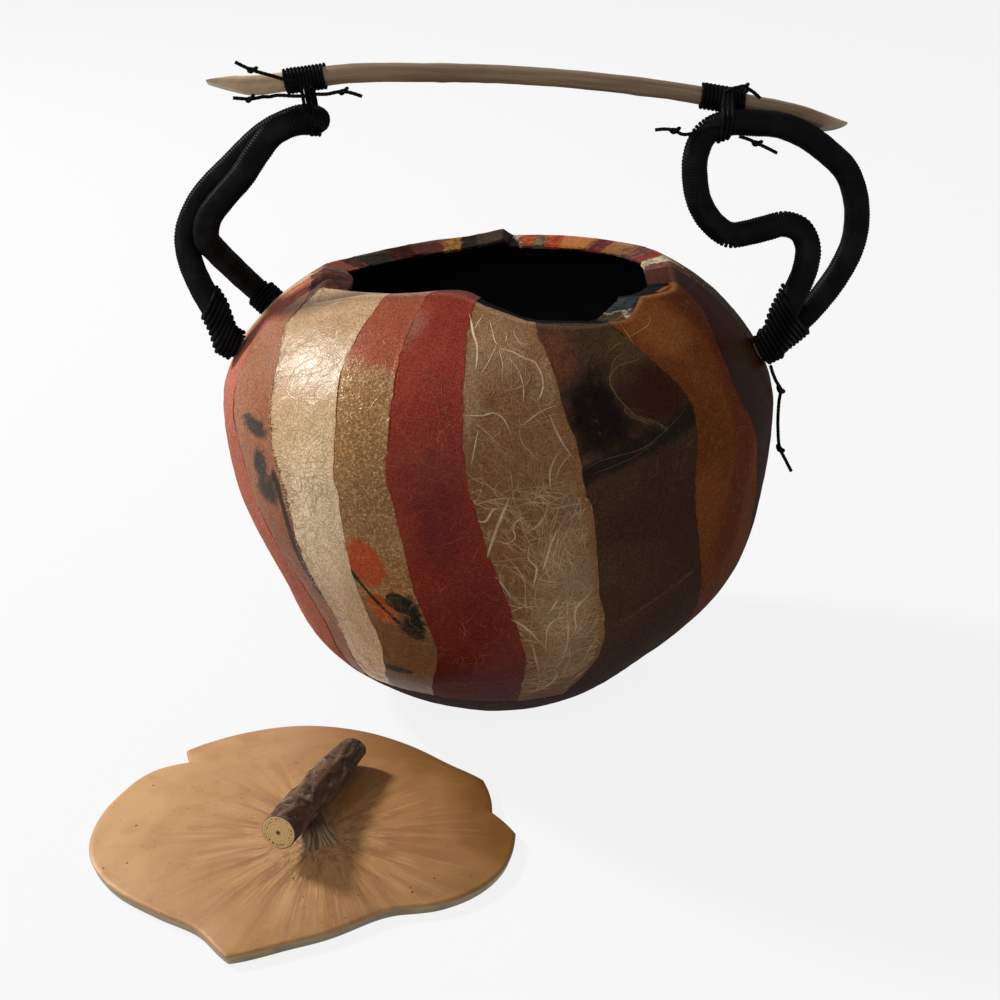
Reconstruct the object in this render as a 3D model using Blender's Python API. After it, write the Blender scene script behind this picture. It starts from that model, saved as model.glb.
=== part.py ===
"""Gourd vessel: a papered calabash with two cord-served vine loops, a lashed stick and a cut-out lid.

Metres, +Z up. The origin is the centre of the flat base on the floor, +X is to the right of the front and
+Y goes back. Every length is a named value below. A name that ends in share or shares holds fractions of
the sizes that it follows. Turns are angles about Z and lifts are angles above the widest ring, in degrees.
"""
import math

import bmesh
import bpy
import numpy as np
from mathutils import Vector

# Gap that touching pieces keep, the smallest step used to find a slope, and how finely curves are measured
GAP = 0.0003
NUDGE = 1e-4
FINE_STEPS = 12
NEARLY_ALONG = 0.9

# Gourd: a squat round profile, rounder below the widest ring than above it, its foot cut off flat
WIDEST_RADIUS = 0.135
WIDEST_HEIGHT = 0.1548
CROWN_RISE = 0.0823
BASE_CUT = 0.0078
BASE_DROP = WIDEST_HEIGHT + BASE_CUT
CROWN_POWER = 1.896
BASE_POWER = 2.0
WALL = 0.0068
SWAY = 0.005
SWAY_HEIGHT_shares = (0.0, 0.2, 0.45, 0.8, 1.25, 1.5)
SWAY_shares = (0.0, -1.0, 0.6, 0.0, 0.0, 0.8)
LEVEL_shares = (0.0, 0.03, 0.10, 0.178, 0.29, 0.40, 0.50, 0.60, 0.70, 0.80, 0.88, 0.95, 1.0)
INNER_LEVEL_shares = (0.93, 0.80, 0.62, 0.44, 0.27, 0.12, 0.0)

# Opening: its outline in plan about the gourd's axis, and the cut face of the wall
MOUTH_REACH = 0.100
LEDGE_WIDTH = 0.012
LEDGE_SLOPE = 10.0
CORNER = True
ROUND = False
MOUTH_shares = (
    (-0.89, -0.28, CORNER), (-0.68, -0.40, ROUND), (-0.53, -0.48, ROUND), (-0.20, -0.60, ROUND),
    (-0.03, -0.73, ROUND), (0.14, -0.78, ROUND), (0.31, -0.77, ROUND), (0.56, -0.64, CORNER),
    (0.62, -0.45, CORNER), (0.80, -0.24, CORNER), (0.80, -0.04, ROUND), (0.80, 0.25, ROUND),
    (0.74, 0.52, ROUND), (0.58, 0.78, ROUND), (0.36, 0.94, ROUND), (0.06, 1.04, CORNER),
    (0.00, 0.95, CORNER), (-0.14, 1.02, ROUND), (-0.40, 0.99, ROUND), (-0.62, 0.89, ROUND),
    (-0.79, 0.73, ROUND), (-0.88, 0.50, ROUND), (-0.88, 0.20, ROUND), (-0.85, -0.05, ROUND),
)

# Paper skin: eighteen strips butted side by side, and a band round the base
PAPER = 0.0004
BUTT_GAP = 0.0004
STRIP_COLUMNS = 3
STRIP_FOOT_LEVEL = 3
LEDGE_COVER_share = 0.96
SNAP_START_share = 0.8
EDGE_LEVEL_shares = (0.0, 0.34, 0.585, 0.79, 1.0)
STRIP_EDGE_TURNS = (
    (-138, -141, -154, -166, -178), (-131, -134.5, -138.5, -150, -171), (-125, -121.7, -122.7, -129, -140),
    (-110, -106.9, -111, -115, -124), (-76, -86.5, -95, -98.5, -103.5), (-66, -68.3, -73.3, -76.2, -80.5),
    (-26, -40.7, -49.4, -46.7, -56), (-14, -18.5, -27.2, -29.7, -12), (4, 0, -6, -6, 4),
    (24, 20, 14, 14, 20), (44, 41, 36, 36, 39), (60, 58, 55, 57, 60), (76, 76, 78, 80, 78),
    (94, 95, 97, 99, 97), (115, 116, 118, 119, 117), (138, 139, 141, 139, 135), (161, 163, 163, 159, 153),
    (186, 186, 184, 178, 168),
)
STRIP_COLOURS = (
    (0.38, 0.24, 0.19), (0.62, 0.53, 0.40), (0.36, 0.25, 0.12), (0.34, 0.11, 0.07), (0.45, 0.31, 0.19),
    (0.12, 0.10, 0.09), (0.52, 0.24, 0.09), (0.36, 0.24, 0.20), (0.48, 0.36, 0.24), (0.33, 0.12, 0.09),
    (0.55, 0.42, 0.28), (0.30, 0.24, 0.20), (0.50, 0.26, 0.12), (0.40, 0.27, 0.23), (0.36, 0.28, 0.15),
    (0.42, 0.16, 0.10), (0.52, 0.44, 0.34), (0.50, 0.27, 0.21),
)

# Loop handles: a bare vine core inside a close winding of cord
VINE_RADIUS = 0.0046
SERVING = 0.0014
HANDLE_SIDES = 8
HANDLE_RINGS = 34
BEND_WEIGHT = 0.03
FOOT_LEAD = 0.007
HANDLE_SPAN = 0.045
HANDLE_DEPTH = 0.014
HANDLE_CLEARANCE = 0.0537
HANDLE_RISE = CROWN_RISE + HANDLE_CLEARANCE
RIGHT_FEET = ((-6.5, 21.0), (1.0, 18.0))
LEFT_FEET = ((184.0, 21.0), (157.0, 22.0))
RIGHT_HANDLE_shares = (
    (-0.01, -0.93, 0.301), (0.13, -0.89, 0.412), (0.24, -0.86, 0.521), (0.25, -0.79, 0.592),
    (0.15, -0.71, 0.651), (-0.01, -0.64, 0.667), (-0.19, -0.57, 0.650), (-0.39, -0.43, 0.628),
    (-0.56, -0.36, 0.618), (-0.73, -0.29, 0.652), (-0.89, -0.14, 0.727), (-0.95, -0.07, 0.811),
    (-0.95, 0.00, 0.894), (-0.85, 0.07, 0.969), (-0.64, 0.07, 1.004), (-0.38, 0.07, 1.004),
    (-0.09, 0.11, 0.996), (0.18, 0.21, 0.959), (0.45, 0.36, 0.895), (0.67, 0.50, 0.823),
    (0.78, 0.57, 0.742), (0.83, 0.64, 0.649), (0.81, 0.64, 0.557), (0.71, 0.57, 0.470),
    (0.55, 0.50, 0.382), (0.35, 0.36, 0.303), (0.15, 0.21, 0.244),
)
LEFT_HANDLE_shares = (
    (0.05, -0.36, 0.318), (0.23, 0.25, 0.401), (0.37, 0.85, 0.489), (0.41, 1.30, 0.563), (0.31, 1.50, 0.655),
    (0.13, 1.55, 0.736), (-0.08, 1.55, 0.803), (-0.26, 1.50, 0.862), (-0.47, 1.43, 0.925),
    (-0.68, 1.36, 0.967), (-0.89, 1.29, 0.993), (-1.02, 1.07, 0.998), (-1.08, 0.68, 1.000),
    (-1.02, 0.29, 1.003), (-0.89, 0.07, 1.006), (-0.65, -0.07, 0.975), (-0.47, -0.29, 0.909),
    (-0.30, -0.29, 0.828), (-0.10, -0.21, 0.754), (0.07, -0.07, 0.682), (0.156, 0.43, 0.593),
    (0.084, 1.57, 0.486), (0.013, 2.71, 0.404), (-0.069, 3.71, 0.325),
)

# Carrying stick: its places are shares of the handles' inner reach, depth and rise
STICK_RADIUS = 0.0045
STICK_SIDES = 10
STICK_RINGS = 12
LEFT_TIP_CUT = 0.023
RIGHT_TIP_CUT = 0.015
STICK_shares = (
    (-1.536, 0.43, 1.130), (-1.298, 0.47, 1.124), (-1.036, 0.51, 1.144), (-0.828, 0.54, 1.161),
    (-0.362, 0.62, 1.165), (0.0, 0.68, 1.158), (0.518, 0.77, 1.130), (1.042, 0.86, 1.082),
    (1.278, 0.90, 1.054), (1.568, 0.95, 1.013), (1.832, 1.0, 0.949),
)

# Lashings: cord wound round a foot of a handle, or round the stick and the loop under it
LASHING_WIDTH = 0.0017
LASHING_PITCH = 0.0023
TURN_POINTS = 10
HALVINGS = 12
LASHING_START = 0.002
LEAST_LASHING_GAP = 0.0004
RIGHT_FOOT_TURNS = 10
LEFT_FRONT_FOOT_TURNS = 9
LEFT_BACK_FOOT_TURNS = 4
STICK_LASHING_TURNS = 10
LEFT_LASHING_share = -1.160
LEFT_TIE_TURNS = (0, 3)
RIGHT_LASHING_share = 1.052
RIGHT_TIE_TURNS = (5, 8)

# Loose cord ends, each with an overhand knot. A route is hand-placed points, each with its share of the width
CORD_WIDTH = 0.002
CORD_STEP = 0.0024
CORD_ROUNDNESS = 1
LEAST_CORD_POINTS = 8
KNOT_SWELL_share = 2.3
PLAIN = 1.0
TAIL_ROUTES = {
    "left_tail_upper": (
        (-0.0995, -0.0012, 0.3122, PLAIN), (-0.1048, -0.0025, 0.3141, PLAIN),
        (-0.1097, -0.0030, 0.3156, PLAIN), (-0.1143, -0.0030, 0.3170, KNOT_SWELL_share),
        (-0.1183, -0.0030, 0.3188, PLAIN), (-0.1219, -0.0030, 0.3207, PLAIN),
    ),
    "left_tail_lower": (
        (-0.1047, -0.0016, 0.3048, PLAIN), (-0.1068, -0.0020, 0.3044, PLAIN),
        (-0.1095, -0.0028, 0.3046, PLAIN), (-0.1125, -0.0035, 0.3042, PLAIN),
        (-0.1159, -0.0035, 0.3037, KNOT_SWELL_share), (-0.1200, -0.0035, 0.3039, PLAIN),
        (-0.1237, -0.0035, 0.3042, PLAIN),
    ),
    "left_tail_inner": (
        (-0.0864, 0.0022, 0.3046, PLAIN), (-0.0797, -0.0010, 0.3055, PLAIN),
        (-0.0760, -0.0020, 0.3065, PLAIN), (-0.0726, -0.0022, 0.3069, KNOT_SWELL_share),
        (-0.0681, -0.0022, 0.3060, PLAIN), (-0.0639, -0.0022, 0.3046, PLAIN),
    ),
    "left_tail_loop": (
        (-0.0967, -0.0054, 0.2993, PLAIN), (-0.0941, -0.0074, 0.3000, PLAIN),
        (-0.0909, -0.0084, 0.2988, PLAIN), (-0.0875, -0.0088, 0.2962, PLAIN),
        (-0.0845, -0.0088, 0.2935, KNOT_SWELL_share), (-0.0825, -0.0086, 0.2922, PLAIN),
        (-0.0806, -0.0084, 0.2915, PLAIN),
    ),
    "right_tail_upper": (
        (0.1055, 0.0052, 0.3051, PLAIN), (0.1095, 0.0037, 0.3072, PLAIN),
        (0.1136, 0.0030, 0.3078, KNOT_SWELL_share), (0.1174, 0.0030, 0.3059, PLAIN),
        (0.1214, 0.0030, 0.3026, PLAIN),
    ),
    "right_tail_inner": (
        (0.1041, -0.0073, 0.2920, PLAIN), (0.0986, -0.0074, 0.2922, PLAIN),
        (0.0935, -0.0080, 0.2905, PLAIN), (0.0880, -0.0084, 0.2885, PLAIN),
        (0.0845, -0.0084, 0.2884, PLAIN), (0.0813, -0.0080, 0.2900, KNOT_SWELL_share),
        (0.0761, -0.0080, 0.2907, PLAIN), (0.0720, -0.0080, 0.2903, PLAIN),
    ),
    "right_tail_outer": (
        (0.1114, -0.0060, 0.2868, PLAIN), (0.1158, -0.0068, 0.2856, PLAIN),
        (0.1197, -0.0079, 0.2840, KNOT_SWELL_share), (0.1245, -0.0080, 0.2818, PLAIN),
        (0.1293, -0.0080, 0.2794, PLAIN),
    ),
    "right_foot_tail": (
        (0.1309, -0.0194, 0.1778, PLAIN), (0.1320, -0.0193, 0.1745, PLAIN),
        (0.1337, -0.0190, 0.1705, PLAIN), (0.1369, -0.0170, 0.1642, KNOT_SWELL_share),
        (0.1368, -0.0155, 0.1581, PLAIN), (0.1370, -0.0140, 0.1493, PLAIN),
        (0.1377, -0.0125, 0.1409, PLAIN), (0.1396, -0.0112, 0.1302, KNOT_SWELL_share),
        (0.1426, -0.0100, 0.1243, PLAIN), (0.1462, -0.0090, 0.1173, PLAIN),
    ),
}

# Lid: the piece cut from the crown, lying on the floor beside the gourd, turned about Z
LID_PLACE = (-0.0775, -0.1631, 0.0)
LID_TURN = 50.0
LID_CLEARANCE = 0.0004
LID_EDGE = 0.0052
LID_CROWN = 0.009
LID_WALL = 0.005
LID_INSET = 0.0015
LID_FOOT = 0.004
LID_TOP_shares = (0.25, 0.5, 0.72, 0.9, 1.0)
LID_UNDER_shares = (0.82, 0.55, 0.28)

# Stem on the lid: a stalk with a waist that carries a short crosspiece of the vine
STALK_PLACE = (-0.0129, -0.0062)
STALK_SIDES = 12
STALK_FLARE = 0.0088
STALK_WAIST = 0.0044
STALK_HEAD = 0.0056
STALK_RING_shares = (
    (1.0, 0.0, 0.0), (0.45, 0.14, 0.0), (0.1, 0.4, 0.0), (0.0, 0.6, 0.0), (0.0, 0.85, 0.6), (0.0, 1.0, 1.0),
)
CROSSPIECE_NEAR = (-0.0360, -0.0062, 0.0290)
CROSSPIECE_FAR = (0.0443, 0.0263, 0.0200)
CROSSPIECE_SIDES = 14
CROSSPIECE_THICK = 0.0082
CROSSPIECE_THIN = 0.0066
CROSSPIECE_CUT = 0.004
CROSSPIECE_PLACE_shares = (0.0, 0.12, 0.3, 0.5, 0.75, 1.0)
CROSSPIECE_SWELL_shares = (1.0, 0.96, 0.98, 0.9, 0.6, 0.0)
STALK_MEETS_share = 0.36

# Angles and colours
SMOOTH_ANGLE = math.radians(35)
SKIN_COLOUR = (0.30, 0.20, 0.12)
BAND_COLOUR = (0.16, 0.08, 0.06)
VINE_COLOUR = (0.12, 0.08, 0.05)
CORD_COLOUR = (0.012, 0.011, 0.011)
STICK_COLOUR = (0.42, 0.32, 0.21)
LID_COLOUR = (0.46, 0.26, 0.12)
STEM_COLOUR = (0.13, 0.10, 0.08)

for old in list(bpy.data.objects):
    bpy.data.objects.remove(old, do_unlink=True)


def flow(place, places, values):
    """Smooth curve through the given values: cubic Hermite pieces with centred slopes."""
    places = np.asarray(places, float)
    values = np.asarray(values, float)
    slopes = np.gradient(values, places, axis=0)
    place = np.asarray(place, float)
    piece = np.clip(np.searchsorted(places, place, side="right") - 1, 0, len(places) - 2)
    width = places[piece + 1] - places[piece]
    t = (place - places[piece]) / width
    extra = (1,) * (values.ndim - 1)
    t = t.reshape(t.shape + extra)
    width = width.reshape(width.shape + extra)
    start = (2 * t ** 3 - 3 * t ** 2 + 1) * values[piece] + (t ** 3 - 2 * t ** 2 + t) * width * slopes[piece]
    end = (3 * t ** 2 - 2 * t ** 3) * values[piece + 1] + (t ** 3 - t ** 2) * width * slopes[piece + 1]
    return start + end


def smooth_step(t):
    """0 below 0, 1 above 1, and an even S between."""
    t = np.clip(t, 0.0, 1.0)
    return t * t * (3 - 2 * t)


def unit(vector):
    """The vector at length 1."""
    return vector / np.linalg.norm(vector, axis=-1, keepdims=True)


# Gourd and opening as formulas
BASE_LIFT = -math.asin((WIDEST_HEIGHT / BASE_DROP) ** (BASE_POWER / 2))


def profile(lift):
    """Radius and height of the skin at a lift in radians, and its normal there as (outward, upward)."""
    def ring(angle):
        power = np.where(angle > 0, CROWN_POWER, BASE_POWER)
        rise = np.where(angle > 0, CROWN_RISE, BASE_DROP)
        sine = np.sin(angle)
        radius = WIDEST_RADIUS * np.cos(angle) ** (2 / power)
        return radius, WIDEST_HEIGHT + rise * np.sign(sine) * np.abs(sine) ** (2 / power)
    radius, height = ring(lift)
    low = ring(lift - NUDGE)
    high = ring(lift + NUDGE)
    outward, upward = high[1] - low[1], low[0] - high[0]
    length = np.hypot(outward, upward)
    return radius, height, outward / length, upward / length


def place_round(turn, radius, height):
    """Points at a turn, radius and height about the gourd's axis, which sways a little from side to side."""
    height_share = np.clip(height / WIDEST_HEIGHT, 0, SWAY_HEIGHT_shares[-1])
    sway = SWAY * flow(height_share, SWAY_HEIGHT_shares, SWAY_shares)
    angle = np.radians(turn)
    return np.stack([sway + radius * np.cos(angle), radius * np.sin(angle), height + 0 * angle], axis=-1)


def skin(turn, lift, out=0.0):
    """Point on the gourd's skin, moved out along its normal."""
    radius, height, outward, upward = profile(lift)
    return place_round(turn, radius + out * outward, height + out * upward)


def mouth_stretches():
    """The opening's outline as turns and radii, cut into stretches at its corners."""
    points = MOUTH_shares + MOUTH_shares[:1]
    turns = np.degrees(np.unwrap([math.atan2(y, x) for x, y, kind in points]))
    radii = MOUTH_REACH * np.array([math.hypot(x, y) for x, y, kind in points])
    cuts = [i for i, point in enumerate(points) if point[2]]
    return [(turns[a:b + 1], radii[a:b + 1]) for a, b in zip(cuts, cuts[1:])]


STRETCHES = mouth_stretches()
CORNER_TURNS = [turns[0] for turns, radii in STRETCHES]


def mouth_radius(turn):
    """Plan radius of the opening at a turn, smooth between the outline's corners."""
    turn = CORNER_TURNS[0] + np.mod(np.asarray(turn, float) - CORNER_TURNS[0], 360)
    radius = np.zeros_like(turn)
    for turns, radii in STRETCHES:
        inside = (turn >= turns[0]) & (turn <= turns[-1])
        radius = np.where(inside, flow(np.clip(turn, turns[0], turns[-1]), turns, radii), radius)
    return radius


def mouth_lift(turn):
    """Lift in radians at which the skin reaches the opening's outline."""
    return np.arccos((mouth_radius(turn) / WIDEST_RADIUS) ** (CROWN_POWER / 2))


def lift_at(turn, share):
    """Lift in radians at a share of the way from the base to the opening."""
    return BASE_LIFT + share * (mouth_lift(turn) - BASE_LIFT)


def ledge(turn, inward_share, out=0.0):
    """Point on the cut face of the wall, which slopes down inward, moved out square to the face."""
    radius, height, outward, upward = profile(mouth_lift(turn))
    slope = math.radians(LEDGE_SLOPE)
    inward = LEDGE_WIDTH * inward_share
    return place_round(turn, radius - inward - out * math.sin(slope),
                       height - inward * math.tan(slope) + out * math.cos(slope))


def ledge_corner(turn, out):
    """Point beside the edge where skin and cut face meet, at the same distance out of both."""
    radius, height, outward, upward = profile(mouth_lift(turn))
    slope = math.radians(LEDGE_SLOPE)
    face_out, face_up = -math.sin(slope), math.cos(slope)
    mitre = out / (1 + outward * face_out + upward * face_up)
    return place_round(turn, radius + mitre * (outward + face_out), height + mitre * (upward + face_up))


def even_turns(share):
    """Turns of the mesh columns at a level, three to a strip."""
    edges = flow(share, EDGE_LEVEL_shares, np.array(STRIP_EDGE_TURNS).T)
    following = np.append(edges[1:], edges[0] + 360)
    steps = np.arange(STRIP_COLUMNS) / STRIP_COLUMNS
    return (edges[:, None] + (following - edges)[:, None] * steps).ravel()


def column_turns(share):
    """The same turns, drawn to the outline's corners near the opening."""
    turns = even_turns(share)
    rim = even_turns(1.0)
    pull = smooth_step((share - SNAP_START_share) / (1 - SNAP_START_share))
    for corner in CORNER_TURNS:
        away = np.mod(corner - rim + 180, 360) - 180
        nearest = np.argmin(np.abs(away))
        turns[nearest] += pull * away[nearest]
    return turns


# Meshes and curves
HEART = Vector((0.0, 0.0, WIDEST_HEIGHT))


def material(name, colour, roughness=0.75):
    """A plain finish of its own for each object."""
    finish = bpy.data.materials.new(name + "_finish")
    finish.use_nodes = True
    shader = finish.node_tree.nodes["Principled BSDF"]
    shader.inputs["Base Color"].default_value = (*colour, 1.0)
    shader.inputs["Roughness"].default_value = roughness
    shader.inputs["Metallic"].default_value = 0.0
    return finish


def place_object(name, data, colour):
    """A named object with its own finish."""
    data.materials.append(material(name, colour))
    piece = bpy.data.objects.new(name, data)
    bpy.context.scene.collection.objects.link(piece)
    return piece


def loft(name, rings, colour, ends="caps"):
    """Solid through a stack of rings of equal count: capped, capped as a thin ribbon, or closed on itself.

    Each four-sided patch is cut along the diagonal that bulges more, so a paper strip and the skin under it
    fold along the same lines.
    """
    build = bmesh.new()
    rows = [[build.verts.new(point) for point in ring] for ring in rings]
    pairs = list(zip(rows, rows[1:]))
    if ends == "closed":
        pairs.append((rows[-1], rows[0]))
    count = len(rows[0])
    for low, high in pairs:
        for i in range(count):
            j = (i + 1) % count
            rising = (low[i].co + high[j].co) / 2 - HEART
            falling = (low[j].co + high[i].co) / 2 - HEART
            if rising.length > falling.length:
                build.faces.new((low[i], low[j], high[j]))
                build.faces.new((low[i], high[j], high[i]))
            else:
                build.faces.new((low[i], low[j], high[i]))
                build.faces.new((low[j], high[j], high[i]))
    if ends == "caps":
        build.faces.new(rows[0][::-1])
        build.faces.new(rows[-1])
    if ends == "ribbon":
        for row in (rows[0], rows[-1]):
            for i in range(count // 2 - 1):
                build.faces.new((row[i], row[i + 1], row[count - 2 - i], row[count - 1 - i]))
    bmesh.ops.recalc_face_normals(build, faces=build.faces)
    mesh = bpy.data.meshes.new(name)
    build.to_mesh(mesh)
    build.free()
    mesh.shade_smooth()
    mesh.set_sharp_from_angle(angle=SMOOTH_ANGLE)
    return place_object(name, mesh, colour)


def arc_lengths(path):
    """Distance along a path to each of its points."""
    return np.concatenate([[0.0], np.cumsum(np.linalg.norm(np.diff(path, axis=0), axis=1))])


def walk(points, count, bend_weight=0.0):
    """Points along a smooth curve through hand-placed ones, closer together where it bends."""
    points = np.asarray(points, float)
    spacing = arc_lengths(points[:, :3])
    fine = flow(np.linspace(0, spacing[-1], count * FINE_STEPS), spacing, points)
    steps = np.diff(fine[:, :3], axis=0)
    lengths = np.linalg.norm(steps, axis=1)
    directions = steps / lengths[:, None]
    bends = np.linalg.norm(np.diff(directions, axis=0, append=directions[-1:]), axis=1)
    weight = np.concatenate([[0.0], np.cumsum(lengths + bend_weight * bends)])
    wanted = np.linspace(0, weight[-1], count)
    return np.stack([np.interp(wanted, weight, column) for column in fine.T], axis=1)


def directions_along(path):
    """Direction at each point of a path, halfway between those of the pieces that meet there."""
    pieces = unit(np.diff(path, axis=0))
    return unit(np.concatenate([pieces[:1], pieces[:-1] + pieces[1:], pieces[-1:]]))


def tube_rings(path, radii, sides):
    """Rings of points square to a path, carried along it without twist."""
    path = np.asarray(path, float)
    ahead = directions_along(path)
    across = (0.0, 1.0, 0.0) if abs(ahead[0][1]) < NEARLY_ALONG else (1.0, 0.0, 0.0)
    side = unit(np.cross(ahead[0], across))
    radii = np.broadcast_to(radii, len(path))
    angles = np.arange(sides) * 2 * math.pi / sides
    rings = []
    for point, direction, radius in zip(path, ahead, radii):
        side = unit(side - direction * (side @ direction))
        other = np.cross(direction, side)
        rings.append(point + radius * (np.cos(angles)[:, None] * side + np.sin(angles)[:, None] * other))
    return rings


def slant_end(ring, centre, direction, towards, cut):
    """Turn a tube's flat end into a slanting cut: points away from the towards side slide back by the cut."""
    radius = np.linalg.norm(ring[0] - centre)
    back = (1 - (ring - centre) @ unit(np.array(towards, float)) / radius) / 2
    return ring - np.outer(cut * back, direction)


def polyline(name, points, width, colour, swells=None):
    """A bevelled curve with capped ends through every point."""
    curve = bpy.data.curves.new(name, "CURVE")
    curve.dimensions = "3D"
    curve.bevel_depth = width / 2
    curve.bevel_resolution = CORD_ROUNDNESS
    curve.use_fill_caps = True
    spline = curve.splines.new("POLY")
    spline.points.add(len(points) - 1)
    spline.points.foreach_set("co", np.column_stack([points, np.ones(len(points))]).ravel())
    if swells is not None:
        spline.points.foreach_set("radius", swells)
    return place_object(name, curve, colour)


# The gourd's shell, its base band and its paper strips
level_turns = [column_turns(share) for share in LEVEL_shares]
shell_rings = [skin(turns, lift_at(turns, share)) for turns, share in zip(level_turns, LEVEL_shares)]
shell_rings.append(ledge(level_turns[-1], 1.0))
for share in INNER_LEVEL_shares:
    turns = column_turns(share)
    shell_rings.append(skin(turns, lift_at(turns, share), -WALL))
loft("gourd_shell", shell_rings, SKIN_COLOUR)

skirt = LEVEL_shares[STRIP_FOOT_LEVEL]
arc_to_widest = (WIDEST_RADIUS + WIDEST_HEIGHT) / 2 * abs(BASE_LIFT)
band_top = skirt - BUTT_GAP / arc_to_widest * abs(BASE_LIFT) / (mouth_lift(0) - BASE_LIFT)
band_levels = [*LEVEL_shares[1:STRIP_FOOT_LEVEL], band_top]
band_rings = []
for out, levels in ((GAP + PAPER, band_levels), (GAP, band_levels[::-1])):
    for share in levels:
        turns = column_turns(share)
        band_rings.append(skin(turns, lift_at(turns, share), out))
loft("base_paper_band", band_rings, BAND_COLOUR, ends="closed")


def strip_columns(turns, number, radius):
    """The four columns of one strip at a level, its outer two drawn in by half the butt gap."""
    first = number * STRIP_COLUMNS
    picked = np.append(turns, turns[0] + 360)[first:first + STRIP_COLUMNS + 1].copy()
    half = np.degrees(BUTT_GAP / 2 / radius)
    picked[0] += half
    picked[-1] -= half
    return picked


def strip_ring(number, turns, radius, surface):
    """One cross-section of a strip: its outer face one way, then its inner face back."""
    columns = strip_columns(turns, number, radius)
    return np.concatenate([surface(columns, GAP + PAPER), surface(columns, GAP)[::-1]])


for number, colour in enumerate(STRIP_COLOURS):
    rings = []
    for turns, share in list(zip(level_turns, LEVEL_shares))[STRIP_FOOT_LEVEL:-1]:
        ring_radius = profile(lift_at(turns[:1], share))[0][0]
        rings.append(strip_ring(number, turns, ring_radius,
                                lambda t, out, share=share: skin(t, lift_at(t, share), out)))
    rim_radius = MOUTH_REACH / 2
    rings.append(strip_ring(number, level_turns[-1], rim_radius, ledge_corner))
    rings.append(strip_ring(number, level_turns[-1], rim_radius,
                            lambda t, out: ledge(t, LEDGE_COVER_share, out)))
    loft(f"paper_strip_{number + 1:02d}", rings, colour, ends="ribbon")


# Handles
def handle_path(shares, feet, side):
    """The vine's line: off the paper square to the skin, through its shaped points and square back on."""
    shaped = [(side * (WIDEST_RADIUS + HANDLE_SPAN * a), HANDLE_DEPTH * b, WIDEST_HEIGHT + HANDLE_RISE * c)
              for a, b, c in shares]
    seat = GAP + PAPER + GAP
    ends = []
    for turn, lift in feet:
        ends.append([skin(turn, math.radians(lift), seat), skin(turn, math.radians(lift), seat + FOOT_LEAD)])
    return walk([*ends[0], *shaped, *ends[1][::-1]], HANDLE_RINGS, BEND_WEIGHT)


def handle(side_name, shares, feet, side):
    """One loop: the vine core and, round it, the sleeve of its serving cord."""
    path = handle_path(shares, feet, side)
    loft(side_name + "_handle_vine", tube_rings(path, VINE_RADIUS, HANDLE_SIDES), VINE_COLOUR)
    outer = tube_rings(path, VINE_RADIUS + GAP + SERVING, HANDLE_SIDES)
    inner = tube_rings(path, VINE_RADIUS + GAP, HANDLE_SIDES)
    loft(side_name + "_handle_serving", outer + inner[::-1], CORD_COLOUR, ends="closed")
    return path


right_path = handle("right", RIGHT_HANDLE_shares, RIGHT_FEET, 1)
left_path = handle("left", LEFT_HANDLE_shares, LEFT_FEET, -1)
SERVED_RADIUS = VINE_RADIUS + GAP + SERVING

# Stick
inner_reach = WIDEST_RADIUS - HANDLE_SPAN
stick_line = [(inner_reach * a, HANDLE_DEPTH * b, WIDEST_HEIGHT + HANDLE_RISE * c)
              for a, b, c in STICK_shares]
stick_path = walk(stick_line, STICK_RINGS)
stick_rings = tube_rings(stick_path, STICK_RADIUS, STICK_SIDES)
stick_ahead = directions_along(stick_path)
stick_rings[0] = slant_end(stick_rings[0], stick_path[0], -stick_ahead[0], (0, 0, 1), LEFT_TIP_CUT)
stick_rings[-1] = slant_end(stick_rings[-1], stick_path[-1], stick_ahead[-1], (0, 1, 1), RIGHT_TIP_CUT)
loft("stick", stick_rings, STICK_COLOUR)


# Lashings
UPWARD = np.array((0.0, 0.0, 1.0))


def point_along(path, distance):
    """Point at a distance along a path of straight pieces."""
    lengths = arc_lengths(path)
    return np.array([np.interp(distance, lengths, column) for column in path.T])


def sections(path, point, normal, radius):
    """Where the pieces of a round strand cut a plane near a point.

    Each cut is the piece's number, and the centre, long direction and stretch of its oval.
    """
    path = np.concatenate([[2 * path[0] - path[1]], path, [2 * path[-1] - path[-2]]])
    height = (path - point) @ normal
    ahead = unit(np.diff(path, axis=0))
    square = ahead @ normal
    crossing = np.flatnonzero(height[:-1] * height[1:] <= 0)
    centres = path[crossing] - ahead[crossing] * (height[crossing] / square[crossing])[:, None]
    nearest = crossing[np.argmin(np.linalg.norm(centres - point, axis=1))]
    found = []
    for i in range(max(nearest - 1, 0), min(nearest + 2, len(ahead))):
        lean = ahead[i] - normal * square[i]
        reach = radius * np.linalg.norm(lean)
        if min(height[i], height[i + 1]) <= reach and max(height[i], height[i + 1]) >= -reach:
            lean = unit(lean) if reach > NUDGE * radius else 0 * lean
            found.append((i, path[i] - ahead[i] * height[i] / square[i], lean, 1 / abs(square[i])))
    return found


def wrapped_point(strands, point, normal, outward, room):
    """Which piece of which strand holds a taut wrap in one direction, and the wrap's point there."""
    corner = math.cos(math.pi / TURN_POINTS)
    best = None
    for number, (path, radius) in enumerate(strands):
        for piece, centre, lean, stretch in sections(path, point, normal, radius):
            along = outward @ lean
            across = outward - lean * along
            reach = radius * math.sqrt((stretch * along) ** 2 + across @ across)
            offset = radius ** 2 * (stretch ** 2 * along * lean + across) / reach
            flatness = radius * (stretch ** 2 - 1) * (1 - corner)
            if best is None or centre @ outward + reach > best[0]:
                wrap = centre + (offset + (room + flatness) * outward) / corner
                best = (centre @ outward + reach, (number, piece), wrap)
    return best[1:]


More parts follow.
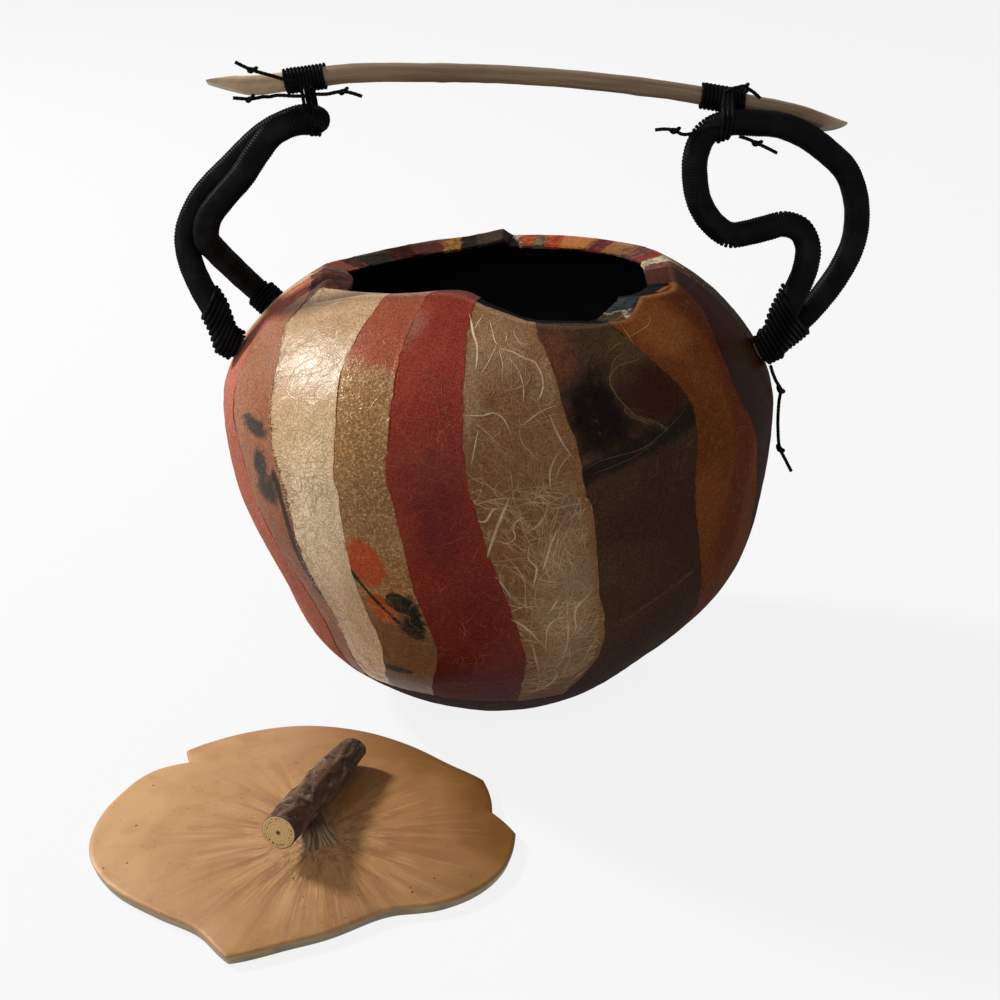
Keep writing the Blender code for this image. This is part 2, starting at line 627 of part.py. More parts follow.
def least_gap(points):
    """Least clear space between a cord's line and itself half a turn or more further on."""
    middles = np.concatenate([points[:-1], (points[:-1] + points[1:]) / 2])
    order = np.concatenate([np.arange(len(points) - 1), np.arange(len(points) - 1) + 0.5])
    apart = np.linalg.norm(middles[:, None] - middles[None], axis=2)
    apart[np.abs(order[:, None] - order[None]) < TURN_POINTS / 2] = np.inf
    return apart.min() - LASHING_WIDTH


def lashing(name, guide, start, turns, strands, tie_turns=None, tie_strand=None):
    """One unbroken cord wound at an even pitch, in planes square to the guide where the winding starts.

    It lies round the strands, and round the tie strand too for some of its turns. Where it leaves one strand,
    or one piece of a strand, for the next, both ends of the straight run between them are found by halving.
    """
    room = GAP + LASHING_WIDTH / 2
    begin = point_along(guide, start)
    ahead = unit(point_along(guide, start + LASHING_PITCH) - begin)
    side = unit(UPWARD - ahead * (UPWARD @ ahead))
    other = np.cross(ahead, side)

    def wrap_at(turn):
        centre = begin + ahead * LASHING_PITCH * turn
        angle = 2 * math.pi * turn
        chosen = list(strands)
        if tie_turns and tie_turns[0] <= turn <= tie_turns[1]:
            chosen.append(tie_strand)
        return wrapped_point(chosen, centre, ahead, math.cos(angle) * side + math.sin(angle) * other, room)

    stops = [0.0]
    for i in range(turns * TURN_POINTS):
        low, high = i / TURN_POINTS, (i + 1) / TURN_POINTS
        if wrap_at(low)[0] != wrap_at(high)[0]:
            leave, reach = low, high
            for halving in range(HALVINGS):
                middle = (leave + reach) / 2
                if wrap_at(middle)[0] == wrap_at(low)[0]:
                    leave = middle
                else:
                    reach = middle
            stops += [leave, reach]
        stops.append(high)
    points = [wrap_at(0.0)[1]]
    for turn in stops[1:]:
        point = wrap_at(turn)[1]
        if np.linalg.norm(point - points[-1]) > LASHING_WIDTH / 2:
            points.append(point)
    points = np.array(points)
    first = points[0] + unit(points[0] - points[1]) * LASHING_WIDTH
    last = points[-1] + unit(points[-1] - points[-2]) * LASHING_WIDTH
    points = np.concatenate([[first], points, [last]])
    gap = least_gap(points)
    print(f"{name}: {turns} turns, least gap {gap * 1000:.2f} mm, enough: {gap > LEAST_LASHING_GAP}")
    polyline(name, points, LASHING_WIDTH, CORD_COLOUR)


def share_of_length(path, across_share):
    """Distance along the stick at which it reaches a share of the handles' inner reach."""
    return float(np.interp(across_share * inner_reach, path[:, 0], arc_lengths(path)))


half_loop = HANDLE_RINGS // 2
left_front, left_back = left_path[:half_loop], left_path[::-1][:half_loop]
right_front, right_back = right_path[:half_loop], right_path[::-1][:half_loop]
foot_turns = RIGHT_FOOT_TURNS + 1
pair_distances = np.linspace(0, LASHING_START + LASHING_PITCH * foot_turns, foot_turns)
foot_guide = np.array([(point_along(right_front, d) + point_along(right_back, d)) / 2
                       for d in pair_distances])
lashing("right_foot_lashing", foot_guide, LASHING_START, RIGHT_FOOT_TURNS,
        [(right_front, SERVED_RADIUS), (right_back, SERVED_RADIUS)])
lashing("left_front_foot_lashing", left_front, LASHING_START, LEFT_FRONT_FOOT_TURNS,
        [(left_front, SERVED_RADIUS)])
lashing("left_back_foot_lashing", left_back, LASHING_START, LEFT_BACK_FOOT_TURNS,
        [(left_back, SERVED_RADIUS)])
lashing("left_stick_lashing", stick_path, share_of_length(stick_path, LEFT_LASHING_share),
        STICK_LASHING_TURNS, [(stick_path, STICK_RADIUS)], LEFT_TIE_TURNS, (left_path, SERVED_RADIUS))
lashing("right_stick_lashing", stick_path, share_of_length(stick_path, RIGHT_LASHING_share),
        STICK_LASHING_TURNS, [(stick_path, STICK_RADIUS)], RIGHT_TIE_TURNS, (right_path, SERVED_RADIUS))

# Loose ends
for name, route in TAIL_ROUTES.items():
    length = arc_lengths(np.array(route)[:, :3])[-1]
    laid = walk(route, max(LEAST_CORD_POINTS, round(length / CORD_STEP)))
    polyline(name, laid[:, :3], CORD_WIDTH, CORD_COLOUR, laid[:, 3])


# Lid and its stem, made in the lid's own frame and placed by one empty
lid_place = bpy.data.objects.new("lid_place", None)
lid_place.location = LID_PLACE
lid_place.rotation_euler = (0, 0, math.radians(LID_TURN))
bpy.context.scene.collection.objects.link(lid_place)


def lid_height(reach_share):
    """Height of the lid's top at a share of the way from its centre to its edge."""
    return LID_EDGE + LID_CROWN * (1 - reach_share ** 2)


def lid_ring(radius, height):
    """Points of one ring of the lid."""
    angle = np.radians(rim_turns)
    return np.stack([radius * np.cos(angle), radius * np.sin(angle), height + 0 * angle], axis=-1)


rim_turns = level_turns[-1]
lid_radius = mouth_radius(rim_turns) - LID_CLEARANCE
lid_rings = [lid_ring(lid_radius * share, lid_height(share)) for share in LID_TOP_shares]
lid_rings.append(lid_ring(lid_radius - LID_INSET, 0.0))
lid_rings.append(lid_ring(lid_radius - LID_INSET - LID_FOOT, 0.0))
lid_rings += [lid_ring(lid_radius * share, lid_height(share) - LID_WALL) for share in LID_UNDER_shares]
lid_shell = loft("lid_shell", lid_rings, LID_COLOUR)
lid_shell.parent = lid_place

near, far = np.array(CROSSPIECE_NEAR), np.array(CROSSPIECE_FAR)
crosspiece_path = near + np.outer(CROSSPIECE_PLACE_shares, far - near)
crosspiece_radii = CROSSPIECE_THIN + (CROSSPIECE_THICK - CROSSPIECE_THIN) * np.array(CROSSPIECE_SWELL_shares)
crosspiece_rings = tube_rings(crosspiece_path, crosspiece_radii, CROSSPIECE_SIDES)
crosspiece_rings[-1] = slant_end(crosspiece_rings[-1], far, unit(far - near), (0, -1, -1), CROSSPIECE_CUT)
lid_stem = loft("lid_stem", crosspiece_rings, STEM_COLOUR)
lid_stem.parent = lid_place

stalk_head = near + STALK_MEETS_share * (far - near)
stalk_rings = []
for flare_share, rise_share, head_share in STALK_RING_shares:
    angle = np.arange(STALK_SIDES) * 2 * math.pi / STALK_SIDES
    radius = STALK_WAIST + flare_share * (STALK_FLARE - STALK_WAIST) + head_share * (STALK_HEAD - STALK_WAIST)
    x = STALK_PLACE[0] + rise_share * (stalk_head[0] - STALK_PLACE[0]) + radius * np.cos(angle)
    y = STALK_PLACE[1] + rise_share * (stalk_head[1] - STALK_PLACE[1]) + radius * np.sin(angle)
    reach = np.hypot(x, y) / mouth_radius(np.degrees(np.arctan2(y, x)))
    seat = lid_height(reach) + GAP
    stalk_rings.append(np.stack([x, y, seat + rise_share * (stalk_head[2] - seat)], axis=-1))
stalk = loft("stalk_cutter", stalk_rings, STEM_COLOUR)
stalk.parent = lid_place
stalk.hide_render = True
stalk.display_type = "WIRE"
join = lid_stem.modifiers.new("stalk", "BOOLEAN")
join.operation = "UNION"
join.object = stalk
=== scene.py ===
"""Looks for the papered gourd vessel: fine paper skin, wound black cord, peeled stick, lid and stem.

Metres, +Z up, the gourd's base centred on the floor. Turns are degrees about Z, lifts are radians above the
widest ring, and shares run from 0 at the base to 1 at the mouth.
"""
import math

import bmesh
import bpy
import numpy as np
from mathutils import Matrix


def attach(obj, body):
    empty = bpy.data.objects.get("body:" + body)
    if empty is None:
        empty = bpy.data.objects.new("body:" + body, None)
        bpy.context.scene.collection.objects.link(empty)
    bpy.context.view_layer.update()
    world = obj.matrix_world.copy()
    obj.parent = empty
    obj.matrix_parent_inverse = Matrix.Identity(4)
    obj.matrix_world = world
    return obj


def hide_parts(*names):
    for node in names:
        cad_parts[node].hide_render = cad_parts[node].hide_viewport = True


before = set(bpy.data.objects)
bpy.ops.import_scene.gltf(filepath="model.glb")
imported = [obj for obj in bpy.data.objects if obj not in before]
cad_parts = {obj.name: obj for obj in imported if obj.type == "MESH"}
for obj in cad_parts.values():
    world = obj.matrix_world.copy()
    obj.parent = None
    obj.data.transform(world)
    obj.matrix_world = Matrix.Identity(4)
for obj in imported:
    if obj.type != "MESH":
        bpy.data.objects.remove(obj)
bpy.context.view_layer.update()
WHITE = (1.0, 1.0, 1.0)

# The camera stands in front of the gourd and looks 25 degrees down on it
LENS_MM = 68.4
CAMERA_PLACE = (0.0, -0.8801, 0.5074)
CAMERA_TILT = math.radians(65.0)
camera_data = bpy.data.cameras.new("camera")
camera_data.lens = LENS_MM
camera_data.sensor_width = 36.0
camera_data.clip_end = 20.0
camera = bpy.data.objects.new("camera", camera_data)
camera.location = CAMERA_PLACE
camera.rotation_euler = (CAMERA_TILT, 0.0, 0.0)
bpy.context.scene.collection.objects.link(camera)
bpy.context.scene.camera = camera


# Finishes: shader maths written as plain expressions
class Wire:
    """A shader socket that plain arithmetic can be written on."""

    def __init__(self, nodes, socket):
        self.nodes = nodes
        self.socket = socket

    def maths(self, operation, first, second):
        return self.nodes.add("ShaderNodeMath", {"operation": operation}, {0: first, 1: second})

    def __add__(self, other):
        return self.maths("ADD", self, other)

    def __radd__(self, other):
        return self.maths("ADD", other, self)

    def __sub__(self, other):
        return self.maths("SUBTRACT", self, other)

    def __rsub__(self, other):
        return self.maths("SUBTRACT", other, self)

    def __mul__(self, other):
        return self.maths("MULTIPLY", self, other)

    def __rmul__(self, other):
        return self.maths("MULTIPLY", other, self)

    def __abs__(self):
        return self.maths("ABSOLUTE", self, 0.0)

    def most(self, other):
        return self.maths("MAXIMUM", self, other)

    def rise(self, low, high):
        """0 below low, 1 above high, an even S between; low may be the larger one."""
        return self.nodes.add("ShaderNodeMapRange", {"interpolation_type": "SMOOTHSTEP"},
                              {"Value": self, "From Min": low, "From Max": high})

    def blend(self, off, on):
        """A colour: off where this is 0, on where it is 1."""
        return self.nodes.add("ShaderNodeMix", {"data_type": "RGBA"}, {0: self, 6: off, 7: on}, 2)

    def dimmed(self, share):
        """This colour at a share of its brightness."""
        return self.nodes.add("ShaderNodeVectorMath", {"operation": "SCALE"}, {0: self, "Scale": share})


class Nodes:
    """A node tree under construction: one method makes every node in it."""

    def __init__(self, tree):
        self.tree = tree

    def add(self, kind, settings, sockets, output=0):
        """One node: its settings first, then the values or wires of its sockets."""
        node = self.tree.nodes.new(kind)
        for key, value in settings.items():
            setattr(node, key, value)
        for key, value in sockets.items():
            self.feed(node.inputs[key], value)
        return Wire(self, node.outputs[output])

    def feed(self, socket, value):
        """Give a socket its wire, or its number, vector or colour."""
        if isinstance(value, Wire):
            self.tree.links.new(value.socket, socket)
        elif socket.type == "RGBA":
            socket.default_value = (*value, 1.0)
        else:
            socket.default_value = value

    def seen_directly(self):
        """1 for rays from the camera, reflected ones and transmitted ones: they see the white background."""
        camera_ray, glossy, transmitted = [self.add("ShaderNodeLightPath", {}, {}, f"Is {kind} Ray")
                                           for kind in ("Camera", "Glossy", "Transmission")]
        return camera_ray.most(glossy).most(transmitted)


class Finish(Nodes):
    """One material under construction, with the patterns that the finishes here are made of."""

    def __init__(self, name, roughness=0.6, coat=0.0, specular=0.5):
        self.material = bpy.data.materials.new(name)
        self.material.use_nodes = True
        super().__init__(self.material.node_tree)
        self.shader = self.tree.nodes["Principled BSDF"]
        self.set("Roughness", roughness)
        self.set("Coat Weight", coat)
        self.set("Coat Roughness", 0.3)
        self.set("Specular IOR Level", specular)
        self.place = self.add("ShaderNodeTexCoord", {}, {}, "Object")
        self.uv = self.add("ShaderNodeTexCoord", {}, {}, "UV")

    def set(self, socket, value):
        """Feed a wire, colour or number to the shader."""
        self.feed(self.shader.inputs[socket], value)

    def mapped(self, scale=(1, 1, 1), shift=(0, 0, 0), source=None):
        """The place, or another vector, shifted and stretched."""
        start = source or self.place
        moved = self.add("ShaderNodeVectorMath", {"operation": "SUBTRACT"}, {0: start, 1: shift})
        return self.add("ShaderNodeMapping", {}, {"Vector": moved, "Scale": scale})

    def noise(self, scale, detail, distortion=0.0, vector=None):
        """Cloudy noise, 0 to 1 about 0.5."""
        return self.add("ShaderNodeTexNoise", {"noise_dimensions": "3D"}, {
            "Vector": vector or self.place, "Scale": scale, "Detail": detail, "Roughness": 0.55,
            "Distortion": distortion})

    def threads(self, scale, width, vector=None, distortion=0.8):
        """Thin curling lines: where a noise passes through its middle value."""
        level = self.noise(scale, 1.0, distortion, vector)
        return abs(level - 0.5).rise(width, width * 0.25)

    def specks(self, scale, size):
        """Small round dots, one to a cell."""
        dot = self.add("ShaderNodeTexVoronoi", {"feature": "F1"}, {"Vector": self.place, "Scale": scale})
        return dot.rise(size, size * 0.6)

    def read(self, name):
        """A number stored on the mesh under this name."""
        return self.add("ShaderNodeAttribute", {"attribute_name": name}, {}, "Fac")

    def across(self, axis, source=None):
        """One coordinate of the place, or of another vector."""
        return self.add("ShaderNodeSeparateXYZ", {}, {0: source or self.place}, axis)

    def emboss(self, height, depth):
        """Raise the surface by a wire, over a depth in metres."""
        bump = self.add("ShaderNodeBump", {}, {"Height": height, "Distance": depth, "Strength": 1.0})
        self.set("Normal", bump)

    def layers(self, colour, *masks):
        """A colour with others laid over it, each where its mask is 1; then it is the Base Color."""
        for mask, over in masks:
            colour = mask.blend(colour, over)
        self.set("Base Color", colour)


def darker(colour, share):
    """The colour at a share of its brightness."""
    return tuple(share * part for part in colour)


# Surfaces
SHARP_EDGE = math.radians(50.0)


def unit(vectors):
    """The vectors at length 1."""
    return vectors / np.linalg.norm(vectors, axis=-1, keepdims=True)


def flow(place, places, values):
    """Smooth curve through the given values: cubic Hermite pieces with centred slopes."""
    places = np.asarray(places, float)
    values = np.asarray(values, float)
    slopes = np.gradient(values, places, axis=0)
    place = np.asarray(place, float)
    piece = np.clip(np.searchsorted(places, place, side="right") - 1, 0, len(places) - 2)
    width = places[piece + 1] - places[piece]
    t = (place - places[piece]) / width
    extra = (1,) * (values.ndim - 1)
    t = t.reshape(t.shape + extra)
    width = width.reshape(width.shape + extra)
    start = (2 * t ** 3 - 3 * t ** 2 + 1) * values[piece] + (t ** 3 - 2 * t ** 2 + t) * width * slopes[piece]
    end = (3 * t ** 2 - 2 * t ** 3) * values[piece + 1] + (t ** 3 - t ** 2) * width * slopes[piece + 1]
    return start + end


def arc_lengths(path):
    """Distance along a path to each of its points."""
    return np.concatenate([[0.0], np.cumsum(np.linalg.norm(np.diff(path, axis=0), axis=1))])


def even_rise(t):
    """0 below 0, 1 above 1, and an even S between."""
    t = np.clip(t, 0.0, 1.0)
    return t * t * (3 - 2 * t)


def round_angles(count):
    """Even angles once round."""
    return np.arange(count) * 2 * np.pi / count


def turned(angle, side, other):
    """Vectors at angles from one direction towards another."""
    return np.cos(angle)[..., None] * side + np.sin(angle)[..., None] * other


def uv_round(angle, distance):
    """Pattern places on a round piece: the share of a turn, and a distance along it."""
    return np.stack(np.broadcast_arrays(angle / (2 * np.pi), distance), -1)


def ripples(points, wave, seed, count=24):
    """Soft unevenness about 0: the mean of many cosine waves of about one length in seeded directions."""
    chance = np.random.default_rng(seed)
    ways = unit(chance.normal(size=(count, 3))) * 2 * np.pi / wave * chance.uniform(0.6, 1.5, (count, 1))
    return np.cos(points @ ways.T + chance.uniform(0, 2 * np.pi, count)).sum(-1) / math.sqrt(count)


def linked(name, data):
    """A new object of the scene, which holds a mesh or a light."""
    holder = bpy.data.objects.new(name, data)
    bpy.context.scene.collection.objects.link(holder)
    return holder


def surface(name, grid, body, closed_rows=False, uv=None, marks=None):
    """A piece over a grid of points (rows, columns, 3): its columns close on themselves, and it faces out.

    Open rows end in caps. Marks are numbers stored at the points, and uv is each point's place in patterns.
    """
    rows, columns = grid.shape[:2]
    r = np.arange(rows if closed_rows else rows - 1)[:, None]
    c = np.arange(columns)[None]
    up, along = (r + 1) % rows, (c + 1) % columns
    quads = [r * columns + c, r * columns + along, up * columns + along, up * columns + c]
    faces = np.stack(np.broadcast_arrays(*quads), axis=-1).reshape(-1, 4).tolist()
    if not closed_rows:
        faces.append(list(range(columns))[::-1])
        faces.append(list(range((rows - 1) * columns, rows * columns)))
    mesh = bpy.data.meshes.new(name)
    mesh.from_pydata(grid.reshape(-1, 3).tolist(), [], faces)
    if uv is not None:
        layer = mesh.uv_layers.new(name="UVMap")
        corner = np.zeros(len(mesh.loops), dtype=np.int32)
        mesh.loops.foreach_get("vertex_index", corner)
        layer.data.foreach_set("uv", uv.reshape(-1, 2)[corner].ravel())
    for key, values in (marks or {}).items():
        mesh.attributes.new(key, "FLOAT", "POINT").data.foreach_set("value", np.ravel(values))
    mesh.validate()
    edit = bmesh.new()
    edit.from_mesh(mesh)
    bmesh.ops.recalc_face_normals(edit, faces=edit.faces)
    edit.to_mesh(mesh)
    edit.free()
    mesh.shade_smooth()
    mesh.set_sharp_from_angle(angle=SHARP_EDGE)
    piece = linked(name, mesh)
    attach(piece, body)
    return piece


def dress(piece, finish):
    """Give a piece its finish."""
    piece.data.materials.clear()
    piece.data.materials.append(finish.material)


# The gourd's form, with the same values as its solids
GAP = 0.0003
PAPER = 0.0004
WALL = 0.0068
WIDEST_RADIUS = 0.135
WIDEST_HEIGHT = 0.1548
CROWN_RISE = 0.0823
BASE_DROP = 0.1626
CROWN_POWER = 1.896
BASE_POWER = 2.0
SWAY = 0.005
SWAY_HEIGHT_shares = (0.0, 0.2, 0.45, 0.8, 1.25, 1.5)
SWAY_shares = (0.0, -1.0, 0.6, 0.0, 0.0, 0.8)
MOUTH_REACH = 0.100
LEDGE_WIDTH = 0.012
LEDGE_SLOPE = math.radians(10.0)
MOUTH_shares = (
    (-0.89, -0.28, 1), (-0.68, -0.4, 0), (-0.53, -0.48, 0), (-0.2, -0.6, 0), (-0.03, -0.73, 0),
    (0.14, -0.78, 0), (0.31, -0.77, 0), (0.56, -0.64, 1), (0.62, -0.45, 1), (0.8, -0.24, 1), (0.8, -0.04, 0),
    (0.8, 0.25, 0), (0.74, 0.52, 0), (0.58, 0.78, 0), (0.36, 0.94, 0), (0.06, 1.04, 1), (0.0, 0.95, 1),
    (-0.14, 1.02, 0), (-0.4, 0.99, 0), (-0.62, 0.89, 0), (-0.79, 0.73, 0), (-0.88, 0.5, 0), (-0.88, 0.2, 0),
    (-0.85, -0.05, 0),
)
EDGE_LEVEL_shares = (0.0, 0.34, 0.585, 0.79, 1.0)
STRIP_EDGE_TURNS = np.array((
    (-138, -141, -154, -166, -178), (-131, -134.5, -138.5, -150, -171), (-125, -121.7, -122.7, -129, -140),
    (-110, -106.9, -111, -115, -124), (-76, -86.5, -95, -98.5, -103.5), (-66, -68.3, -73.3, -76.2, -80.5),
    (-26, -40.7, -49.4, -46.7, -56), (-14, -18.5, -27.2, -29.7, -12), (4, 0, -6, -6, 4),
    (24, 20, 14, 14, 20), (44, 41, 36, 36, 39), (60, 58, 55, 57, 60), (76, 76, 78, 80, 78),
    (94, 95, 97, 99, 97), (115, 116, 118, 119, 117), (138, 139, 141, 139, 135), (161, 163, 163, 159, 153),
    (186, 186, 184, 178, 168),
), float)
STRIP_FOOT = 0.178
BAND_FOOT = 0.03
BAND_OVERLAP = 0.0012
BAND_TORN = 0.0016
BAND_OVER = 0.0001
SLOPE_STEP = 1e-4
BASE_LIFT = -math.asin((WIDEST_HEIGHT / BASE_DROP) ** (BASE_POWER / 2))


def profile(lift):
    """Skin's radius and height at a lift, and its normal there: a squat superellipse, rounder below."""
    def ring(angle):
        power = np.where(angle > 0, CROWN_POWER, BASE_POWER)
        rise = np.where(angle > 0, CROWN_RISE, BASE_DROP)
        radius = WIDEST_RADIUS * np.cos(angle) ** (2 / power)
        return radius, WIDEST_HEIGHT + rise * np.sign(np.sin(angle)) * np.abs(np.sin(angle)) ** (2 / power)
    radius, height = ring(lift)
    low, high = ring(lift - SLOPE_STEP), ring(lift + SLOPE_STEP)
    outward, upward = high[1] - low[1], low[0] - high[0]
    length = np.hypot(outward, upward)
    return radius, height, outward / length, upward / length


def place_round(turn, radius, height):
    """Points at a turn, radius and height about the gourd's gently swaying axis."""
    level = np.clip(height / WIDEST_HEIGHT, 0, SWAY_HEIGHT_shares[-1])
    sway = SWAY * flow(level, SWAY_HEIGHT_shares, SWAY_shares)
    angle = np.radians(turn)
    return np.stack([sway + radius * np.cos(angle), radius * np.sin(angle), height + 0 * angle], axis=-1)


def skin(turn, lift, out=0.0):
    """Point on the skin, moved out along its normal."""
    radius, height, outward, upward = profile(lift)
    return place_round(turn, radius + out * outward, height + out * upward)


def mouth_radius(turn):
    """Plan radius of the mouth at a turn: smooth between the outline's corners."""
    points = MOUTH_shares + MOUTH_shares[:1]
    turns = np.degrees(np.unwrap([math.atan2(y, x) for x, y, _ in points]))
    radii = MOUTH_REACH * np.hypot([point[0] for point in points], [point[1] for point in points])
    cuts = [i for i, point in enumerate(points) if point[2]]
    turn = turns[0] + np.mod(np.asarray(turn, float) - turns[0], 360)
    radius = np.zeros_like(turn)
    for a, b in zip(cuts, cuts[1:]):
        inside = (turn >= turns[a]) & (turn <= turns[b])
        piece = flow(np.clip(turn, turns[a], turns[b]), turns[a:b + 1], radii[a:b + 1])
        radius = np.where(inside, piece, radius)
    return radius


def mouth_lift(turn):
    """Lift at which the skin reaches the mouth."""
    return np.arccos((mouth_radius(turn) / WIDEST_RADIUS) ** (CROWN_POWER / 2))


def lift_at(turn, share):
    """Lift at a share of the way from base to mouth."""
    return BASE_LIFT + share * (mouth_lift(turn) - BASE_LIFT)


def ledge(turn, inward_share, out=0.0):
    """Point on the wall's cut face, which slopes down inward, moved out square to it."""
    radius, height = profile(mouth_lift(turn))[:2]
    inward = LEDGE_WIDTH * inward_share
    return place_round(turn, radius - inward - out * math.sin(LEDGE_SLOPE),
                       height - inward * math.tan(LEDGE_SLOPE) + out * math.cos(LEDGE_SLOPE))


def rim_corner(turn, out):
    """Point beside the mouth's edge, at one distance out of skin and cut face alike."""
    radius, height, outward, upward = profile(mouth_lift(turn))
    face_out, face_up = -math.sin(LEDGE_SLOPE), math.cos(LEDGE_SLOPE)
    mitre = out / (1 + outward * face_out + upward * face_up)
    return place_round(turn, radius + mitre * (outward + face_out), height + mitre * (upward + face_up))


SWELL = 0.00010
CREASE = 0.00005


def paper_rise(points, seed):
    """How far the glued paper's face stands off the skin: its thickness, swells and small creases."""
    return GAP + PAPER + SWELL * ripples(points, 0.030, seed) + CREASE * ripples(points, 0.009, seed + 50)


# The shell: bare gourd under the paper, blackened inside
turns = np.arange(0, 360, 1.5)
shell_rows = [skin(turns, lift_at(turns, share)) for share in np.linspace(0, 1, 70)]
shell_rows += [ledge(turns, share) for share in (0.5, 1.0)]
shell_rows += [skin(turns, lift_at(turns, share), -WALL) for share in np.linspace(0.93, 0.0, 60)]
shell = surface("gourd_wall", np.array(shell_rows), "vessel")
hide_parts("gourd_shell")
black = Finish("blackened_inside", roughness=0.9, specular=0.0)
soot = black.noise(60, 4)
black.set("Base Color", soot.blend((0.011, 0.0105, 0.0125), (0.026, 0.024, 0.027)))
black.emboss(black.noise(140, 5) * 0.6 + black.noise(35, 3), 0.0012)
dress(shell, black)


# Paper strips
LAP = 0.0009
TORN_WIDE = 0.0007
TORN_FINE = 0.0003


def strip_turns(number, share, radius):
    """Left and right edge of a strip at a share, torn a little unevenly; the right one laps its neighbour."""
    def torn(edge, k):
        wave = np.stack([share * 0.30, share * 0 + 0.1 * k, share * 0], axis=-1)
        wander = TORN_WIDE * ripples(wave, 0.05, 300 + k) + TORN_FINE * ripples(wave, 0.009, 400 + k)
        return edge + np.degrees(wander / radius)
    edges = flow(share, EDGE_LEVEL_shares, STRIP_EDGE_TURNS.T)
    following = (number + 1) % len(STRIP_EDGE_TURNS)
    left = torn(edges[..., number], number)
    right = torn(edges[..., following], following) + (360 if following == 0 else 0)
    return left, right + np.degrees(LAP / radius)


HALVING = 0.693


def spots(turn, height, places):
    """1 at each spot's middle, one half at its edge: places are (turn, height mm, half turn, half mm)."""
    value = np.zeros_like(turn)
    for middle_turn, middle_height, half_turn, half_height in places:
        away = ((turn - middle_turn) / half_turn) ** 2 + ((height * 1000 - middle_height) / half_height) ** 2
        value = np.maximum(value, np.exp(-HALVING * away))
    return value


def streak(turn, height, radius, half_width, places):
    """1 on a line through places given as (turn, height mm), one half at half_width mm from it."""
    x, y = np.radians(turn) * radius * 1000, height * 1000
    nearest = np.full(turn.shape, np.inf)
    places = flow(np.linspace(0, len(places) - 1, len(places) * 4), np.arange(len(places)), places)
    for (turn_a, high_a), (turn_b, high_b) in zip(places, places[1:]):
        ax, ay = np.radians(turn_a) * radius * 1000, high_a
        bx, by = np.radians(turn_b) * radius * 1000, high_b
        share = ((x - ax) * (bx - ax) + (y - ay) * (by - ay)) / ((bx - ax) ** 2 + (by - ay) ** 2)
        share = np.clip(share, 0, 1)
        nearest = np.minimum(nearest, np.hypot(x - ax - share * (bx - ax), y - ay - share * (by - ay)))
    return np.exp(-HALVING * (nearest / half_width) ** 2)


ACROSS = 36
UP = 150
STRIP_TOP = 0.994
LAP_RISE = 0.00018
LEDGE_UNDERSIDE = 0.0001
LEDGE_ROW_shares = (0.07, 0.15, 0.3, 0.45, 0.6, 0.75, 0.88, 0.97)
LEDGE_TUCK = -0.0012


def paper_strip(number, marks=()):
    """One strip of paper: a grid from its foot to the mouth's edge, over it and across the cut face.

    Point = skin at (edge turns blended across, share) moved out by the paper's rise.
    """
    across = np.linspace(0, 1, ACROSS)
    share = np.linspace(STRIP_FOOT, STRIP_TOP, UP)
    middle = STRIP_EDGE_TURNS[number].mean()
    radius = profile(lift_at(np.full(UP, middle), share))[0]
    left, right = strip_turns(number, share, radius)
    turn = left[:, None] + (right - left)[:, None] * across
    lift = lift_at(turn, share[:, None])
    flat = skin(turn, lift)
    out = paper_rise(flat, number) + LAP_RISE * even_rise((across - 0.90) / 0.08)
    back = skin(turn[:, [-1, 0]], lift[:, [-1, 0]], GAP)
    rows = [np.concatenate([skin(turn, lift, out), back], axis=1)]
    rim_turn = turn[-1]
    rim_out = out[-1]
    back_turn = rim_turn[[-1, 0]]
    rows.append(np.concatenate([rim_corner(rim_turn, 0.80 * rim_out), rim_corner(back_turn, GAP)])[None])
    for inward in LEDGE_ROW_shares:
        face, under = ledge(rim_turn, inward, rim_out), ledge(back_turn, inward, LEDGE_UNDERSIDE)
        rows.append(np.concatenate([face, under])[None])
    rows.append(np.concatenate([ledge(rim_turn, 1.02, LEDGE_TUCK), ledge(back_turn, 0.97, LEDGE_TUCK)])[None])
    grid = np.concatenate(rows)
    extra = len(grid) - UP
    u = np.broadcast_to(np.concatenate([across, [1, 0]]), grid.shape[:2])
    v = np.concatenate([share, np.full(extra, 1.0)])[:, None] + np.zeros_like(u)
    inward = np.concatenate([np.zeros(UP), [0.0], LEDGE_ROW_shares, [1.1]])[:, None] + np.zeros_like(u)
    full_turn = np.concatenate([turn, np.repeat(rim_turn[None], extra, 0)])
    full_turn = np.concatenate([full_turn, full_turn[:, [-1, 0]]], axis=1)
    fields = {"inward": inward}
    flat_radius = np.hypot(grid[..., 0], grid[..., 1])
    for key, kind, *places in marks:
        if kind == "spots":
            fields[key] = spots(full_turn, grid[..., 2], places[0])
        else:
            fields[key] = streak(full_turn, grid[..., 2], flat_radius, places[0], places[1])
    piece = surface(f"paper_{number + 1:02d}", grid, "vessel", uv=np.stack([u, v], -1), marks=fields)
    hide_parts(f"paper_strip_{number + 1:02d}")
    return piece


